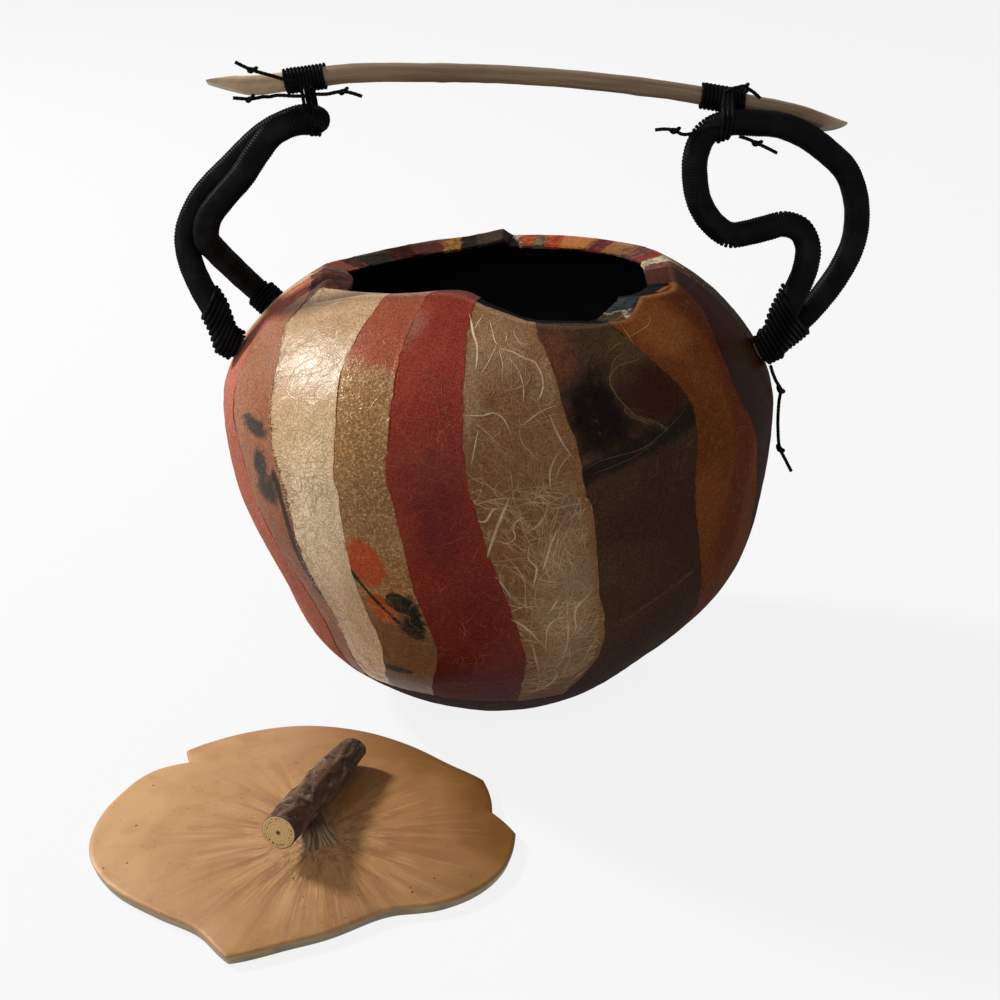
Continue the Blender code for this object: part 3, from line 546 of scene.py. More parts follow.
def paper_finish(name, base, second, fleck, fibre, fibre_amount=0.5, strand_amount=0.0, low=None, patches=(),
                 left_neighbour=None, hairy=0.0, shine=0.36, front_ledge=False, metal=0.0, speckle=0.25,
                 over=(), folds=(), fold_reach=0.962, specular=0.0, coat=0.05, dust=0.0, seed=0.0):
    """Varnished handmade paper: clouds of two tones, flecks, curling fibres, patches where marks are stored.

    Each patch is (mark, colour, softness, wobble), and those in over cover the flecks too. Low tints towards
    the base. Each fold is (share from, share to, colour): a scrap turned over the mouth's edge.
    """
    finish = Finish(name, roughness=shine, specular=specular, coat=coat)
    here = finish.mapped(shift=(seed, 0.37 * seed, 0.71 * seed))
    cloud = finish.noise(16, 4, 0.5, here)
    blot = finish.noise(85, 4, 0.8, here)
    fine = finish.noise(260, 3, 0.2, here)
    grain = finish.noise(1100, 2, 0.0, here)
    colour = cloud.rise(0.36, 0.66).blend(base, second)
    up = finish.across("Y", finish.uv)
    side = finish.across("X", finish.uv)
    inward = finish.read("inward")
    if low:
        colour = (up + (cloud - 0.5) * 0.25).rise(0.50, 0.24).blend(colour, low)
    if dust:
        colour = (finish.noise(720, 3, 0.3, here).rise(0.50, 0.60) * dust).blend(colour, fleck)
    for mark, shade, softness, wobble in patches:
        level = finish.read(mark) + (blot - 0.5) * wobble + (fine - 0.5) * wobble * 0.5
        colour = level.rise(0.5 - softness, 0.5 + softness).blend(colour, shade)
    colour = (fine.rise(0.50, 0.72) * speckle).blend(colour, fleck)
    for mark, shade, softness, wobble in over:
        level = finish.read(mark) + (blot - 0.5) * wobble
        colour = level.rise(0.5 - softness, 0.5 + softness).blend(colour, shade)
    hairs = finish.threads(42, 0.008, here) * finish.noise(20, 2, 0, here).rise(0.42, 0.62)
    hairs = hairs.most(finish.threads(95, 0.011, here, 1.4) * finish.noise(33, 2, 0, here).rise(0.45, 0.6))
    colour = (hairs * fibre_amount).blend(colour, fibre)
    strands = finish.threads(17, 0.010, here, 2.2) * finish.noise(11, 2, 0, here).rise(0.46, 0.6)
    if strand_amount:
        colour = (strands * strand_amount).blend(colour, fibre)
    if left_neighbour:
        torn = (side - (finish.noise(210, 4, 1.0, here) - 0.42) * hairy).rise(0.025, 0.0)
        colour = torn.blend(colour, left_neighbour)
    # Painted shade: a dark line along the strip's left edge, where its neighbour's edge laps over it.
    painted_lap_shade = (side + (fine - 0.5) * 0.01).rise(0.012, 0.0) * 0.55
    colour = painted_lap_shade.blend(colour, darker(base, 0.25))
    # Painted highlight: a thin pale line in the fibre colour along the mouth's edge, where the paper turns
    # onto the cut face.
    painted_rim_highlight = (inward - 0.03).rise(0.10, 0.0) * up.rise(0.990, 0.999) * 0.35
    colour = painted_rim_highlight.blend(colour, fibre)
    reach = 0.20 if front_ledge else 1.02
    sooty = (inward + (fine - 0.5) * 0.12).rise(reach - 0.03, reach + 0.05)
    colour = sooty.blend(colour, (0.006, 0.005, 0.005))
    turned = (inward + (fine - 0.5) * 0.05).rise(0.015, 0.045).most(
        (up + (blot - 0.5) * 0.05).rise(fold_reach, fold_reach + 0.004))
    for left_share, right_share, shade in folds:
        ragged = side + (blot - 0.5) * 0.40 + (fine - 0.5) * 0.14
        there = ragged.rise(left_share - 0.03, left_share + 0.03)
        there = there * ragged.rise(right_share + 0.03, right_share - 0.03)
        mottled = fine.rise(0.35, 0.65).blend(darker(shade, 0.55), darker(shade, 1.25))
        colour = (there * turned).blend(colour, mottled)
    colour = grain.rise(0.34, 0.66).blend(colour.dimmed(0.70), colour.dimmed(1.25))
    finish.set("Base Color", colour)
    if metal:
        glitter = finish.noise(1500, 1, 0, here).rise(0.55, 0.62) * finish.read("gold").rise(0.3, 0.6)
        finish.set("Metallic", glitter * metal)
    finish.set("Roughness", fine * 0.20 + grain * 0.16 + (shine - 0.16) + sooty * 0.4)
    height = hairs * 0.5 + strands * (0.5 if strand_amount else 0.0) + fine * 0.5 + grain * 0.45 + cloud * 0.6
    finish.emboss(height, 0.00032)
    return finish


SALMON = (0.42, 0.135, 0.085)
BROWN_PINK = (0.25, 0.094, 0.044)
CREAM = (0.49, 0.305, 0.155)
GOLD_BROWN = (0.335, 0.166, 0.065)
BRICK = (0.250, 0.036, 0.020)
KRAFT = (0.200, 0.088, 0.034)
CHARCOAL = (0.050, 0.0235, 0.0127)
OCHRE = (0.220, 0.059, 0.0128)
DUSKY = (0.050, 0.0150, 0.0095)

LOOKS = (
    dict(base=BROWN_PINK, second=(0.31, 0.125, 0.064), fleck=(0.15, 0.06, 0.032), fibre=(0.42, 0.2, 0.11),
         fibre_amount=0.35, hairy=0.1, specular=0.04, coat=0.0,
         patches=(("blotch", (0.05, 0.038, 0.032), 0.26, 1.1), ("band", (0.04, 0.03, 0.026), 0.22, 1.0)),
         folds=((-0.1, 1.1, (0.125, 0.04, 0.026)),)),
    dict(base=CREAM, second=(0.4, 0.215, 0.092), fleck=(0.3, 0.15, 0.062), fibre=(0.76, 0.57, 0.34),
         fibre_amount=0.65, strand_amount=0.45, low=(0.68, 0.47, 0.27), hairy=0.42, shine=0.31,
         specular=0.18, coat=0.0, patches=(("pale", (0.82, 0.62, 0.38), 0.45, 0.5),)),
    dict(base=GOLD_BROWN, second=(0.235, 0.108, 0.04), fleck=(0.44, 0.28, 0.115), fibre=(0.46, 0.31, 0.15),
         fibre_amount=0.22, hairy=0.03, speckle=0.16, dust=0.65, metal=0.55, shine=0.31, specular=0.05,
         coat=0.12, patches=(("low_brown", (0.165, 0.072, 0.026), 0.25, 0.5),
         ("orange", (0.4, 0.07, 0.014), 0.13, 0.45), ("crack", (0.016, 0.013, 0.01), 0.15, 0.7),
         ("dark", (0.014, 0.014, 0.01), 0.14, 1.2)), over=(("red_top", (0.275, 0.062, 0.027), 0.06, 0.2),)),
    dict(base=BRICK, second=(0.19, 0.023, 0.0135), fleck=(0.34, 0.085, 0.045), fibre=(0.42, 0.15, 0.1),
         fibre_amount=0.22, low=(0.09, 0.0125, 0.0095), hairy=0.02, speckle=0.12, coat=0.12,
         patches=(("tint", (0.26, 0.085, 0.055), 0.3, 0.6), ("plum", (0.135, 0.018, 0.015), 0.45, 0.7))),
    dict(base=KRAFT, second=(0.255, 0.12, 0.049), fleck=(0.095, 0.042, 0.017), fibre=(0.52, 0.34, 0.18),
         fibre_amount=0.55, strand_amount=0.55, hairy=0.02, speckle=0.35, coat=0.1, front_ledge=True,
         patches=(("dense", (0.3, 0.172, 0.084), 0.35, 0.8),)),
    dict(base=CHARCOAL, second=(0.076, 0.038, 0.021), fleck=(0.03, 0.015, 0.009), fibre=(0.19, 0.115, 0.06),
         fibre_amount=0.18, hairy=0.02, speckle=0.3, front_ledge=True,
         patches=(("pink", (0.143, 0.05, 0.027), 0.3, 0.7), ("black", (0.01, 0.006, 0.005), 0.3, 0.7),
         ("maroon", (0.048, 0.013, 0.0065), 0.3, 0.5), ("band", (0.018, 0.0135, 0.0075), 0.3, 0.9),
         ("fibrous", (0.105, 0.056, 0.022), 0.3, 0.9), ("hook", (0.1, 0.06, 0.03), 0.25, 1.1),
         ("thread", (0.09, 0.056, 0.032), 0.3, 0.3))),
    dict(base=OCHRE, second=(0.158, 0.04, 0.01), fleck=(0.3, 0.112, 0.03), fibre=(0.44, 0.2, 0.07),
         fibre_amount=0.2, low=(0.14, 0.039, 0.011), hairy=0.02, front_ledge=True, fold_reach=1.2,
         # Painted highlight: the light patch brightens the top of this strip just under the mouth's edge.
         patches=(("light", (0.33, 0.105, 0.028), 0.3, 0.4), ("rust", (0.135, 0.03, 0.01), 0.3, 0.4)),
         folds=((0.02, 0.2, (0.07, 0.052, 0.026)), (0.2, 0.245, (0.5, 0.44, 0.33)),
         (0.245, 0.45, (0.032, 0.036, 0.04)))),
    dict(base=DUSKY, second=(0.075, 0.023, 0.013), fleck=(0.032, 0.012, 0.008), fibre=(0.16, 0.08, 0.05),
         fibre_amount=0.25, hairy=0.04, patches=(("olive", (0.062, 0.036, 0.017), 0.3, 0.5),
         ("grey", (0.042, 0.024, 0.021), 0.3, 0.5))),
    dict(base=(0.1, 0.048, 0.026), second=(0.07, 0.036, 0.018), fleck=(0.16, 0.09, 0.045),
         fibre=(0.3, 0.2, 0.11), fibre_amount=0.4, strand_amount=0.25, hairy=0.05,
         folds=((0.0, 0.5, (0.17, 0.062, 0.052)), (0.5, 1.1, (0.46, 0.37, 0.22)))),
    dict(base=(0.17, 0.03, 0.02), second=(0.13, 0.022, 0.015), fleck=(0.25, 0.07, 0.04),
         fibre=(0.36, 0.13, 0.08), fibre_amount=0.22, low=(0.09, 0.013, 0.01), hairy=0.03,
         folds=((0.55, 1.1, (0.15, 0.055, 0.05)),)),
    dict(base=(0.24, 0.105, 0.034), second=(0.19, 0.08, 0.028), fleck=(0.36, 0.2, 0.07),
         fibre=(0.46, 0.28, 0.12), fibre_amount=0.3, hairy=0.04,
         folds=((-0.1, 0.22, (0.17, 0.08, 0.03)), (0.6, 0.95, (0.13, 0.022, 0.021)))),
    dict(base=(0.44, 0.165, 0.045), second=(0.36, 0.12, 0.032), fleck=(0.52, 0.26, 0.09),
         fibre=(0.6, 0.34, 0.14), fibre_amount=0.28, hairy=0.03,
         folds=((0.54, 0.84, (0.34, 0.055, 0.021)), (0.84, 1.1, (0.13, 0.105, 0.062)))),
    dict(base=(0.026, 0.015, 0.011), second=(0.045, 0.026, 0.017), fleck=(0.085, 0.05, 0.03),
         fibre=(0.16, 0.1, 0.06), fibre_amount=0.18, hairy=0.03,
         folds=((-0.1, 0.07, (0.13, 0.105, 0.062)), (0.07, 0.31, (0.36, 0.075, 0.022)),
         (0.31, 0.34, (0.55, 0.5, 0.42)), (0.94, 1.1, (0.034, 0.03, 0.019)))),
    dict(base=(0.064, 0.019, 0.014), second=(0.085, 0.028, 0.02), fleck=(0.12, 0.05, 0.034),
         fibre=(0.22, 0.11, 0.08), fibre_amount=0.25, hairy=0.05,
         folds=((-0.1, 0.27, (0.021, 0.016, 0.01)), (0.27, 0.53, (0.25, 0.11, 0.028)))),
    dict(base=(0.019, 0.014, 0.009), second=(0.03, 0.022, 0.013), fleck=(0.075, 0.05, 0.022),
         fibre=(0.2, 0.16, 0.09), fibre_amount=0.25, hairy=0.05, speckle=0.5,
         folds=((-0.1, 0.39, (0.042, 0.01, 0.007)),)),
    dict(base=(0.25, 0.055, 0.03), second=(0.19, 0.038, 0.022), fleck=(0.34, 0.11, 0.06),
         fibre=(0.44, 0.19, 0.12), fibre_amount=0.25, left_neighbour=(0.034, 0.03, 0.02), hairy=0.03,
         folds=((0.0, 0.5, (0.062, 0.021, 0.016)),)),
    dict(base=(0.46, 0.32, 0.18), second=(0.38, 0.25, 0.13), fleck=(0.28, 0.17, 0.08),
         fibre=(0.72, 0.58, 0.38), fibre_amount=0.6, strand_amount=0.4, hairy=0.2,
         folds=((0.0, 1.0, (0.17, 0.075, 0.045)),)),
    dict(base=SALMON, second=(0.34, 0.105, 0.07), fleck=(0.26, 0.08, 0.05), fibre=(0.56, 0.26, 0.18),
         fibre_amount=0.4, hairy=0.05, patches=(("dusk", (0.2, 0.066, 0.042), 0.4, 0.8),),
         folds=((0.0, 1.1, (0.085, 0.027, 0.018)),)),
)

MARKS = {
    0: (("blotch", "spots", ((-148.0, 168, 4.7, 3.5), (-143.9, 152, 2.7, 8), (-142.1, 141, 4.1, 7))),
        ("band", "streak", 2.3, ((-139.0, 151), (-137.6, 140), (-136.6, 124), (-136.1, 108), (-134.8, 90)))),
    1: (("pale", "spots", ((-129.4, 134, 9.7, 38),)),),
    2: (("gold", "spots", ((-116, 180, 14, 75),)),
        ("low_brown", "spots", ((-116, 62, 16, 34),)),
        ("orange", "spots", ((-117.6, 120, 4.4, 13), (-116.4, 95, 3.6, 9))),
        ("crack", "streak", 1.2, ((-121.4, 114), (-117.5, 99), (-113.8, 88))),
        ("dark", "spots", ((-111.7, 101, 3.9, 6), (-109.8, 87, 3.1, 8), (-117.1, 52, 4, 2.5))),
        ("red_top", "spots", ((-121, 232, 40, 28),))),
    3: (("tint", "spots", ((-121.0, 217, 5.5, 5), (-126, 215, 8.8, 6))),
        ("plum", "spots", ((-101.0, 146, 4.5, 24), (-95.0, 96, 6.0, 26)))),
    4: (("dense", "spots", ((-77.4, 97, 6.0, 45), (-92.0, 214, 10, 9), (-80.0, 203, 2.6, 8),
                            (-98, 200, 3, 22))),),
    5: (("pink", "spots", ((-76.5, 210, 5.3, 9),)),
        ("black", "spots", ((-69.0, 190, 6.8, 15),)),
        ("maroon", "spots", ((-53.7, 193, 7.0, 11),)),
        ("fibrous", "spots", ((-52.0, 211, 9.0, 6),)),
        ("hook", "streak", 0.7, ((-51.5, 207), (-57.4, 207), (-62.2, 205), (-64.0, 199), (-63.7, 193),
                                 (-61.5, 188), (-56.7, 184), (-54.3, 180))),
        ("band", "streak", 4.0, ((-46.9, 182), (-54.4, 179), (-61.8, 175), (-68.6, 172), (-74.5, 167))),
        ("thread", "streak", 0.6, ((-46.5, 105), (-53.8, 99), (-59.0, 94), (-66.7, 86)))),
    # Painted highlight: the light spot near the top of this strip, just under the mouth's edge.
    6: (("light", "spots", ((-40.0, 212, 10.0, 9),)),
        ("rust", "streak", 9.0, ((-19, 214), (-24, 200), (-30, 180), (-33, 150), (-36, 110)))),
    7: (("olive", "spots", ((-19.8, 190, 6, 8),)), ("grey", "spots", ((-24.5, 165, 7, 24),))),
    17: (("dusk", "spots", ((180.0, 240, 40, 22),)),),
}

SOOTY_STRIPS = (4, 5)
for number in range(len(STRIP_EDGE_TURNS)):
    strip = paper_strip(number, MARKS.get(number, ()))
    look = {"left_neighbour": LOOKS[number - 1]["base"], **LOOKS[number]}
    dress(strip, paper_finish(f"paper_look_{number + 1:02d}", seed=0.31 * number, **look))
    if number in SOOTY_STRIPS:
        strip.data.materials.append(black.material)
        facing = np.zeros(len(strip.data.polygons), dtype=np.int32)
        facing[(UP + 2) * (ACROSS + 2):] = 1
        strip.data.polygons.foreach_set("material_index", facing)

# The band round the base, its upper edge torn a little unevenly
round_line = np.stack([np.cos(np.radians(turns)), np.sin(np.radians(turns)), 0 * turns], -1)
band_top = STRIP_FOOT - BAND_OVERLAP + BAND_TORN * ripples(round_line, 0.6, 9)
band_shares = BAND_FOOT + np.linspace(0, 1, 22)[:, None] * (band_top - BAND_FOOT)
band_flat = skin(turns, lift_at(turns, band_shares))
band_rows = np.concatenate([skin(turns, lift_at(turns, band_shares), paper_rise(band_flat, 77) + BAND_OVER),
                            skin(turns, lift_at(turns, band_shares[[-1, 0]]), GAP)])
band = surface("base_band", band_rows, "vessel", closed_rows=True,
               uv=np.stack(np.broadcast_arrays(turns / 360, np.linspace(0, 0.15, 24)[:, None]), -1),
               marks={"inward": np.zeros(band_rows.shape[:2])})
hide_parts("base_paper_band")
dress(band, paper_finish("band_look", (0.072, 0.033, 0.028), (0.050, 0.027, 0.026), (0.12, 0.07, 0.055),
                         (0.17, 0.09, 0.07), fibre_amount=0.2, seed=8.0))


FIBRE_STEPS = 14
FIBRE_RISE = 0.00013
SKIN_ARC = 0.33
FIBRE_FOOT = 0.00004
FIBRE_CROWN = 0.00003
FIBRE_SUNK = 0.0002
SPILL_LIFT = 0.00028
MM_PER_DEGREE = 2.36


def pressed_fibres(name, number, turn, lift, wide, inside, colour, over=0.0):
    """Fibres pressed into one strip: low ridges along rows of (turn, lift), sunk where they leave the strip.

    Wide is half their width. They lie on the paper, or over it by another height where they cross its edge.
    Ring = left foot, crown, right foot; crown = centre + normal x (FIBRE_CROWN + the lesser of 0.45 wide and
    FIBRE_RISE), and each foot is wide to its side and FIBRE_FOOT under the centre.
    """
    count = len(turn)
    flat = skin(turn, lift)
    centre = skin(turn, lift, np.where(inside, paper_rise(flat, number) + over, FIBRE_SUNK))
    normal = unit(skin(turn, lift, 0.01) - flat)
    side = unit(np.cross(np.gradient(centre, axis=1), normal))
    taper = np.sin(np.linspace(0.12, np.pi - 0.12, FIBRE_STEPS)) ** 0.6
    wide = (wide * taper)[..., None]
    crown = centre + normal * (np.minimum(wide * 0.45, FIBRE_RISE) + FIBRE_CROWN)
    feet = [centre + sign * side * wide - normal * FIBRE_FOOT for sign in (-1, 1)]
    points = np.stack([feet[0], crown, feet[1]], axis=2).reshape(-1, 3)
    start = (np.arange(count) * FIBRE_STEPS * 3)[:, None, None]
    row = (np.arange(FIBRE_STEPS - 1) * 3)[None, :, None]
    k = np.arange(3)[None, None]
    following = (k + 1) % 3
    near, far = start + row, start + row + 3
    quads = np.stack([near + k, near + following, far + following, far + k], -1)
    first = start[:, 0, 0]
    caps = np.concatenate([np.stack([first + 2, first + 1, first], -1),
                           np.stack([first, first + 1, first + 2], -1) + (FIBRE_STEPS - 1) * 3])
    mesh = bpy.data.meshes.new(name)
    mesh.from_pydata(points.tolist(), [], quads.reshape(-1, 4).tolist() + caps.tolist())
    mesh.shade_smooth()
    piece = linked(name, mesh)
    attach(piece, "vessel")
    finish = Finish(name + "_look", roughness=0.5, specular=0.03)
    tone = finish.noise(60, 2).rise(0.35, 0.65).blend(colour, darker(colour, 0.62))
    finish.layers(tone, (finish.noise(1100, 2).rise(0.66, 0.34), tone.dimmed(0.75)))
    dress(piece, finish)


def lint(name, number, count, length, half_width, seed, colour, low=0.2, high=0.99, curl=14.0, lean=None,
         left_side=0.03, right_side=0.97, spill=0.0):
    """Loose fibres of one strip, each of which wanders over the skin.

    Heading = start + curl x a seeded walk, and start is near lean where one is given; turn and share follow
    from its steps; points out of the strip sink, apart from those up to spill degrees past its left edge.
    """
    chance = np.random.default_rng(seed)
    share = chance.uniform(low, high, (count, 1))
    across = chance.uniform(left_side, right_side, (count, 1))
    left, right = strip_turns(number, share[:, 0], np.full(count, 0.12))
    turn = left[:, None] + (right - left)[:, None] * across
    long = length * chance.uniform(0.4, 1.6, (count, 1))
    start = chance.uniform(0, np.pi, (count, 1)) if lean is None else chance.normal(lean, 0.30, (count, 1))
    heading = start + np.cumsum(chance.normal(0, curl / 60, (count, FIBRE_STEPS)), 1)
    heading = heading + np.linspace(-1, 1, FIBRE_STEPS) * chance.normal(0, curl / 14, (count, 1))
    radius = profile(lift_at(turn, share))[0]
    turn = turn + np.degrees(np.cumsum(np.cos(heading), 1) * long / FIBRE_STEPS / radius)
    share = share + np.cumsum(np.sin(heading), 1) * long / FIBRE_STEPS / SKIN_ARC
    radius = profile(lift_at(turn, np.clip(share, 0.1, 1)))[0]
    left, right = strip_turns(number, share.ravel(), radius.ravel())
    inside = (share > STRIP_FOOT + 0.005) & (share < 0.993)
    left, right = left.reshape(turn.shape), right.reshape(turn.shape)
    inside &= (turn > left + 0.3 - spill) & (turn < right - 0.6)
    lift = lift_at(turn, np.clip(share, STRIP_FOOT, 0.995))
    wide = half_width * chance.uniform(0.5, 1.5, (count, 1))
    over = SPILL_LIFT * even_rise(left + 1.2 - turn) if spill else 0.0
    pressed_fibres(name, number, turn, lift, wide, inside, colour, over)


def placed_fibres(name, number, routes, colour, widen=1.0):
    """Single fibres of one strip, each a smooth curve: (half width in mm, then points (turn, height in mm)).

    Lift = arcsine of the height's share of the crown's rise or the base's drop, to half the profile's power.
    """
    turn, lift, wide = [], [], []
    for half_width, *points in routes:
        spacing = arc_lengths(np.array(points) * (MM_PER_DEGREE, 1.0))
        line = flow(np.linspace(0, spacing[-1], FIBRE_STEPS), spacing, points)
        above = line[:, 1] / 1000 - WIDEST_HEIGHT
        reach = np.where(above > 0, CROWN_RISE, BASE_DROP)
        power = np.where(above > 0, CROWN_POWER, BASE_POWER)
        lift.append(np.sign(above) * np.arcsin(np.clip(np.abs(above) / reach, 0, 0.999) ** (power / 2)))
        turn.append(line[:, 0])
        wide.append([widen * half_width / 1000])
    turn, lift = np.array(turn), np.array(lift)
    left, right = strip_turns(number, (lift - BASE_LIFT) / (mouth_lift(turn) - BASE_LIFT), profile(lift)[0])
    inside = (turn > left - 0.2) & (turn < right) & (lift < mouth_lift(turn) * 0.998)
    pressed_fibres(name, number, turn, lift, np.array(wide), inside, colour)


KRAFT_FIBRES = (
    (0.6, (-103.0, 222), (-100.5, 219), (-99.4, 217), (-97.5, 214), (-96.7, 210), (-96.6, 206)),
    (0.25, (-97.9, 222), (-99.4, 219), (-99.6, 218)), (0.25, (-92.3, 214), (-93.4, 210), (-95.3, 205)),
    (0.3, (-95.6, 221), (-93.9, 218), (-92.6, 215), (-91.5, 214)),
    (0.5, (-91.1, 213), (-87.6, 212), (-84.4, 210), (-81.3, 208), (-80.2, 204), (-80.3, 201), (-81.7, 197)),
    (0.2, (-91.4, 213), (-90.0, 208), (-90.0, 203)),
    (0.2, (-88.3, 210), (-85.9, 206), (-85.0, 202), (-85.0, 196)), (0.2, (-89.2, 218), (-89.7, 215)),
    (0.25, (-87.7, 218), (-85.9, 215), (-82.4, 214)),
    (0.35, (-98.1, 192), (-96.2, 192), (-93.5, 192), (-91.1, 193), (-89.7, 192), (-88.4, 189), (-87.5, 185)),
    (0.3, (-77.5, 195), (-79.9, 194), (-81.6, 193), (-83.4, 191), (-85.8, 189), (-86.0, 192)),
    (0.25, (-85.8, 189), (-85.7, 184), (-83.8, 179), (-82.0, 175)), (0.35, (-97.4, 185), (-96.5, 177)),
    (0.25, (-94.2, 187), (-94.7, 180), (-95.1, 174)),
    (0.5, (-79.5, 192), (-78.4, 186), (-76.9, 180), (-75.4, 175)),
    (0.4, (-77.7, 180), (-80.1, 172), (-80.3, 164)), (0.3, (-75.9, 177), (-78.1, 173), (-79.2, 168)),
    (0.2, (-87.8, 173), (-87.2, 165)),
    (0.5, (-94.4, 150), (-92.3, 150), (-91.5, 153), (-90.7, 156), (-89.7, 156)),
    (0.8, (-87.9, 161), (-88.9, 155), (-90.2, 147), (-91.2, 140), (-92.3, 132)),
    (0.3, (-89.3, 139), (-87.6, 140), (-86.9, 142), (-87.3, 146), (-86.6, 150), (-84.5, 152)),
    (0.25, (-89.4, 134), (-87.3, 128), (-85.3, 118), (-85.5, 110), (-85.4, 100)),
    (0.5, (-91.5, 123), (-90.2, 119), (-88.8, 113), (-88.3, 110)),
    (0.6, (-88.8, 97), (-86.1, 92), (-83.6, 84), (-81.1, 76)),
    (0.5, (-84.7, 81), (-83.1, 69), (-80.8, 58)), (0.3, (-87.2, 84), (-84.8, 83), (-82.9, 81)),
    (0.35, (-80.6, 155), (-79.5, 155), (-76.9, 156), (-74.4, 156)),
    (0.3, (-83.5, 160), (-82.4, 161), (-80.6, 158)),
    (0.4, (-80.8, 157), (-81.4, 152), (-82.9, 147), (-84.5, 145)),
    (0.6, (-78.9, 145), (-80.2, 138), (-81.1, 130), (-81.9, 124)),
    (0.45, (-84.4, 138), (-84.4, 130), (-83.0, 126), (-83.2, 121), (-83.9, 115)),
    (0.25, (-83.2, 120), (-80.9, 118), (-78.1, 117)), (0.4, (-78.0, 112), (-80.0, 103), (-82.7, 94)),
    (0.5, (-71.4, 113), (-72.9, 107), (-75.0, 102), (-75.6, 97), (-75.2, 89), (-76.1, 83)),
    (0.35, (-70.4, 96), (-71.1, 89), (-72.6, 83), (-75.7, 82)),
    (0.35, (-69.3, 81), (-72.9, 82), (-76.0, 82)),
    (0.45, (-77.1, 96), (-76.8, 84), (-76.8, 69), (-77.1, 60)),
    (0.45, (-76.5, 96), (-79.2, 96), (-81.1, 92), (-81.6, 84), (-81.4, 74)),
    (0.35, (-69.8, 80), (-71.0, 72), (-71.0, 63), (-73.2, 57)),
    (0.4, (-68.4, 71), (-67.9, 62), (-68.2, 50), (-70.0, 42)),
    (0.6, (-80.4, 56), (-77.5, 60), (-74.9, 50), (-76.1, 43), (-79.0, 40)),
    (0.4, (-77.1, 130), (-75.5, 124), (-74.8, 119)), (0.25, (-78.6, 126), (-77.7, 122), (-74.8, 120)),
    (0.3, (-75.3, 118), (-72.7, 111)), (0.25, (-78.3, 137), (-76.2, 131), (-72.8, 128)),
    (0.3, (-71.2, 107), (-73.0, 104)), (0.3, (-73.7, 55), (-75.0, 68), (-76.3, 77)),
)
placed_fibres("lint_kraft_strands", 4, KRAFT_FIBRES, (0.66, 0.46, 0.27), 1.55)
CHARCOAL_FIBRES = (
    (0.25, (-53.0, 217), (-53.0, 214), (-53.1, 211), (-52.8, 208)),
    (0.35, (-40.3, 216), (-43.1, 214), (-48.0, 213), (-53.4, 212)),
    (0.55, (-53.5, 205), (-57.7, 205), (-61.6, 204), (-64.4, 200), (-63.9, 196), (-61.9, 190), (-59.6, 185),
     (-57.0, 182)),
    (0.3, (-56.6, 208), (-60.3, 207), (-62.2, 205), (-62.9, 202)),
    (0.3, (-53.4, 209), (-51.5, 207), (-55.0, 205), (-60.1, 203), (-60.2, 198)),
    (0.25, (-46.8, 199), (-50.5, 198)), (0.25, (-62.0, 209), (-57.6, 211), (-53.3, 211), (-49.6, 210)),
    (0.25, (-73.7, 170), (-70.6, 173), (-66.3, 174), (-60.6, 175), (-55.4, 179), (-46.3, 186)),
    (0.2, (-72.9, 168), (-68.3, 170), (-62.0, 173), (-56.8, 177)),
    (0.25, (-65.5, 85), (-59.0, 94), (-53.1, 99), (-46.2, 107)),
)
OCHRE_FIBRES = (
    CHARCOAL_FIBRES[1], (0.3, (-35.4, 209), (-40.4, 207), (-44.2, 203)),
    (0.2, (-41.4, 212), (-38.4, 209), (-37.0, 206)), CHARCOAL_FIBRES[0],
)
placed_fibres("lint_charcoal_strands", 5, CHARCOAL_FIBRES, (0.215, 0.120, 0.050))
placed_fibres("lint_ochre_strands", 6, OCHRE_FIBRES, (0.50, 0.26, 0.085))
lint("lint_kraft_long", 4, 170, 0.030, 0.00015, 41, (0.44, 0.28, 0.145), curl=7.0, lean=1.75)
lint("lint_kraft_low", 4, 400, 0.027, 0.00021, 42, (0.58, 0.40, 0.24), 0.2, 0.60, 8.0, left_side=0.3)
lint("lint_kraft_upper", 4, 90, 0.028, 0.00019, 54, (0.50, 0.335, 0.19), 0.55, 0.86, 7.0, left_side=0.3)
lint("lint_cream", 1, 520, 0.014, 0.00016, 43, (0.80, 0.62, 0.39), curl=14.0)
lint("lint_cream_edge", 1, 330, 0.008, 0.00014, 53, (0.76, 0.55, 0.32), low=0.30, curl=8.0, lean=0.15,
     left_side=-0.04, right_side=0.12, spill=3.0)
lint("lint_brick", 3, 110, 0.014, 0.00013, 44, (0.42, 0.130, 0.080), curl=12.0)
lint("lint_gold", 2, 40, 0.012, 0.00012, 45, (0.40, 0.27, 0.12), curl=14.0)
lint("lint_ochre", 6, 40, 0.016, 0.00013, 46, (0.30, 0.145, 0.055), 0.6, 0.99, 14.0)
lint("lint_straw", 8, 120, 0.022, 0.00016, 47, (0.26, 0.165, 0.085), curl=12.0)
lint("lint_pale", 16, 260, 0.016, 0.00016, 49, (0.70, 0.56, 0.36), curl=14.0)
lint("lint_salmon", 17, 60, 0.012, 0.00013, 50, (0.50, 0.22, 0.15), curl=14.0)


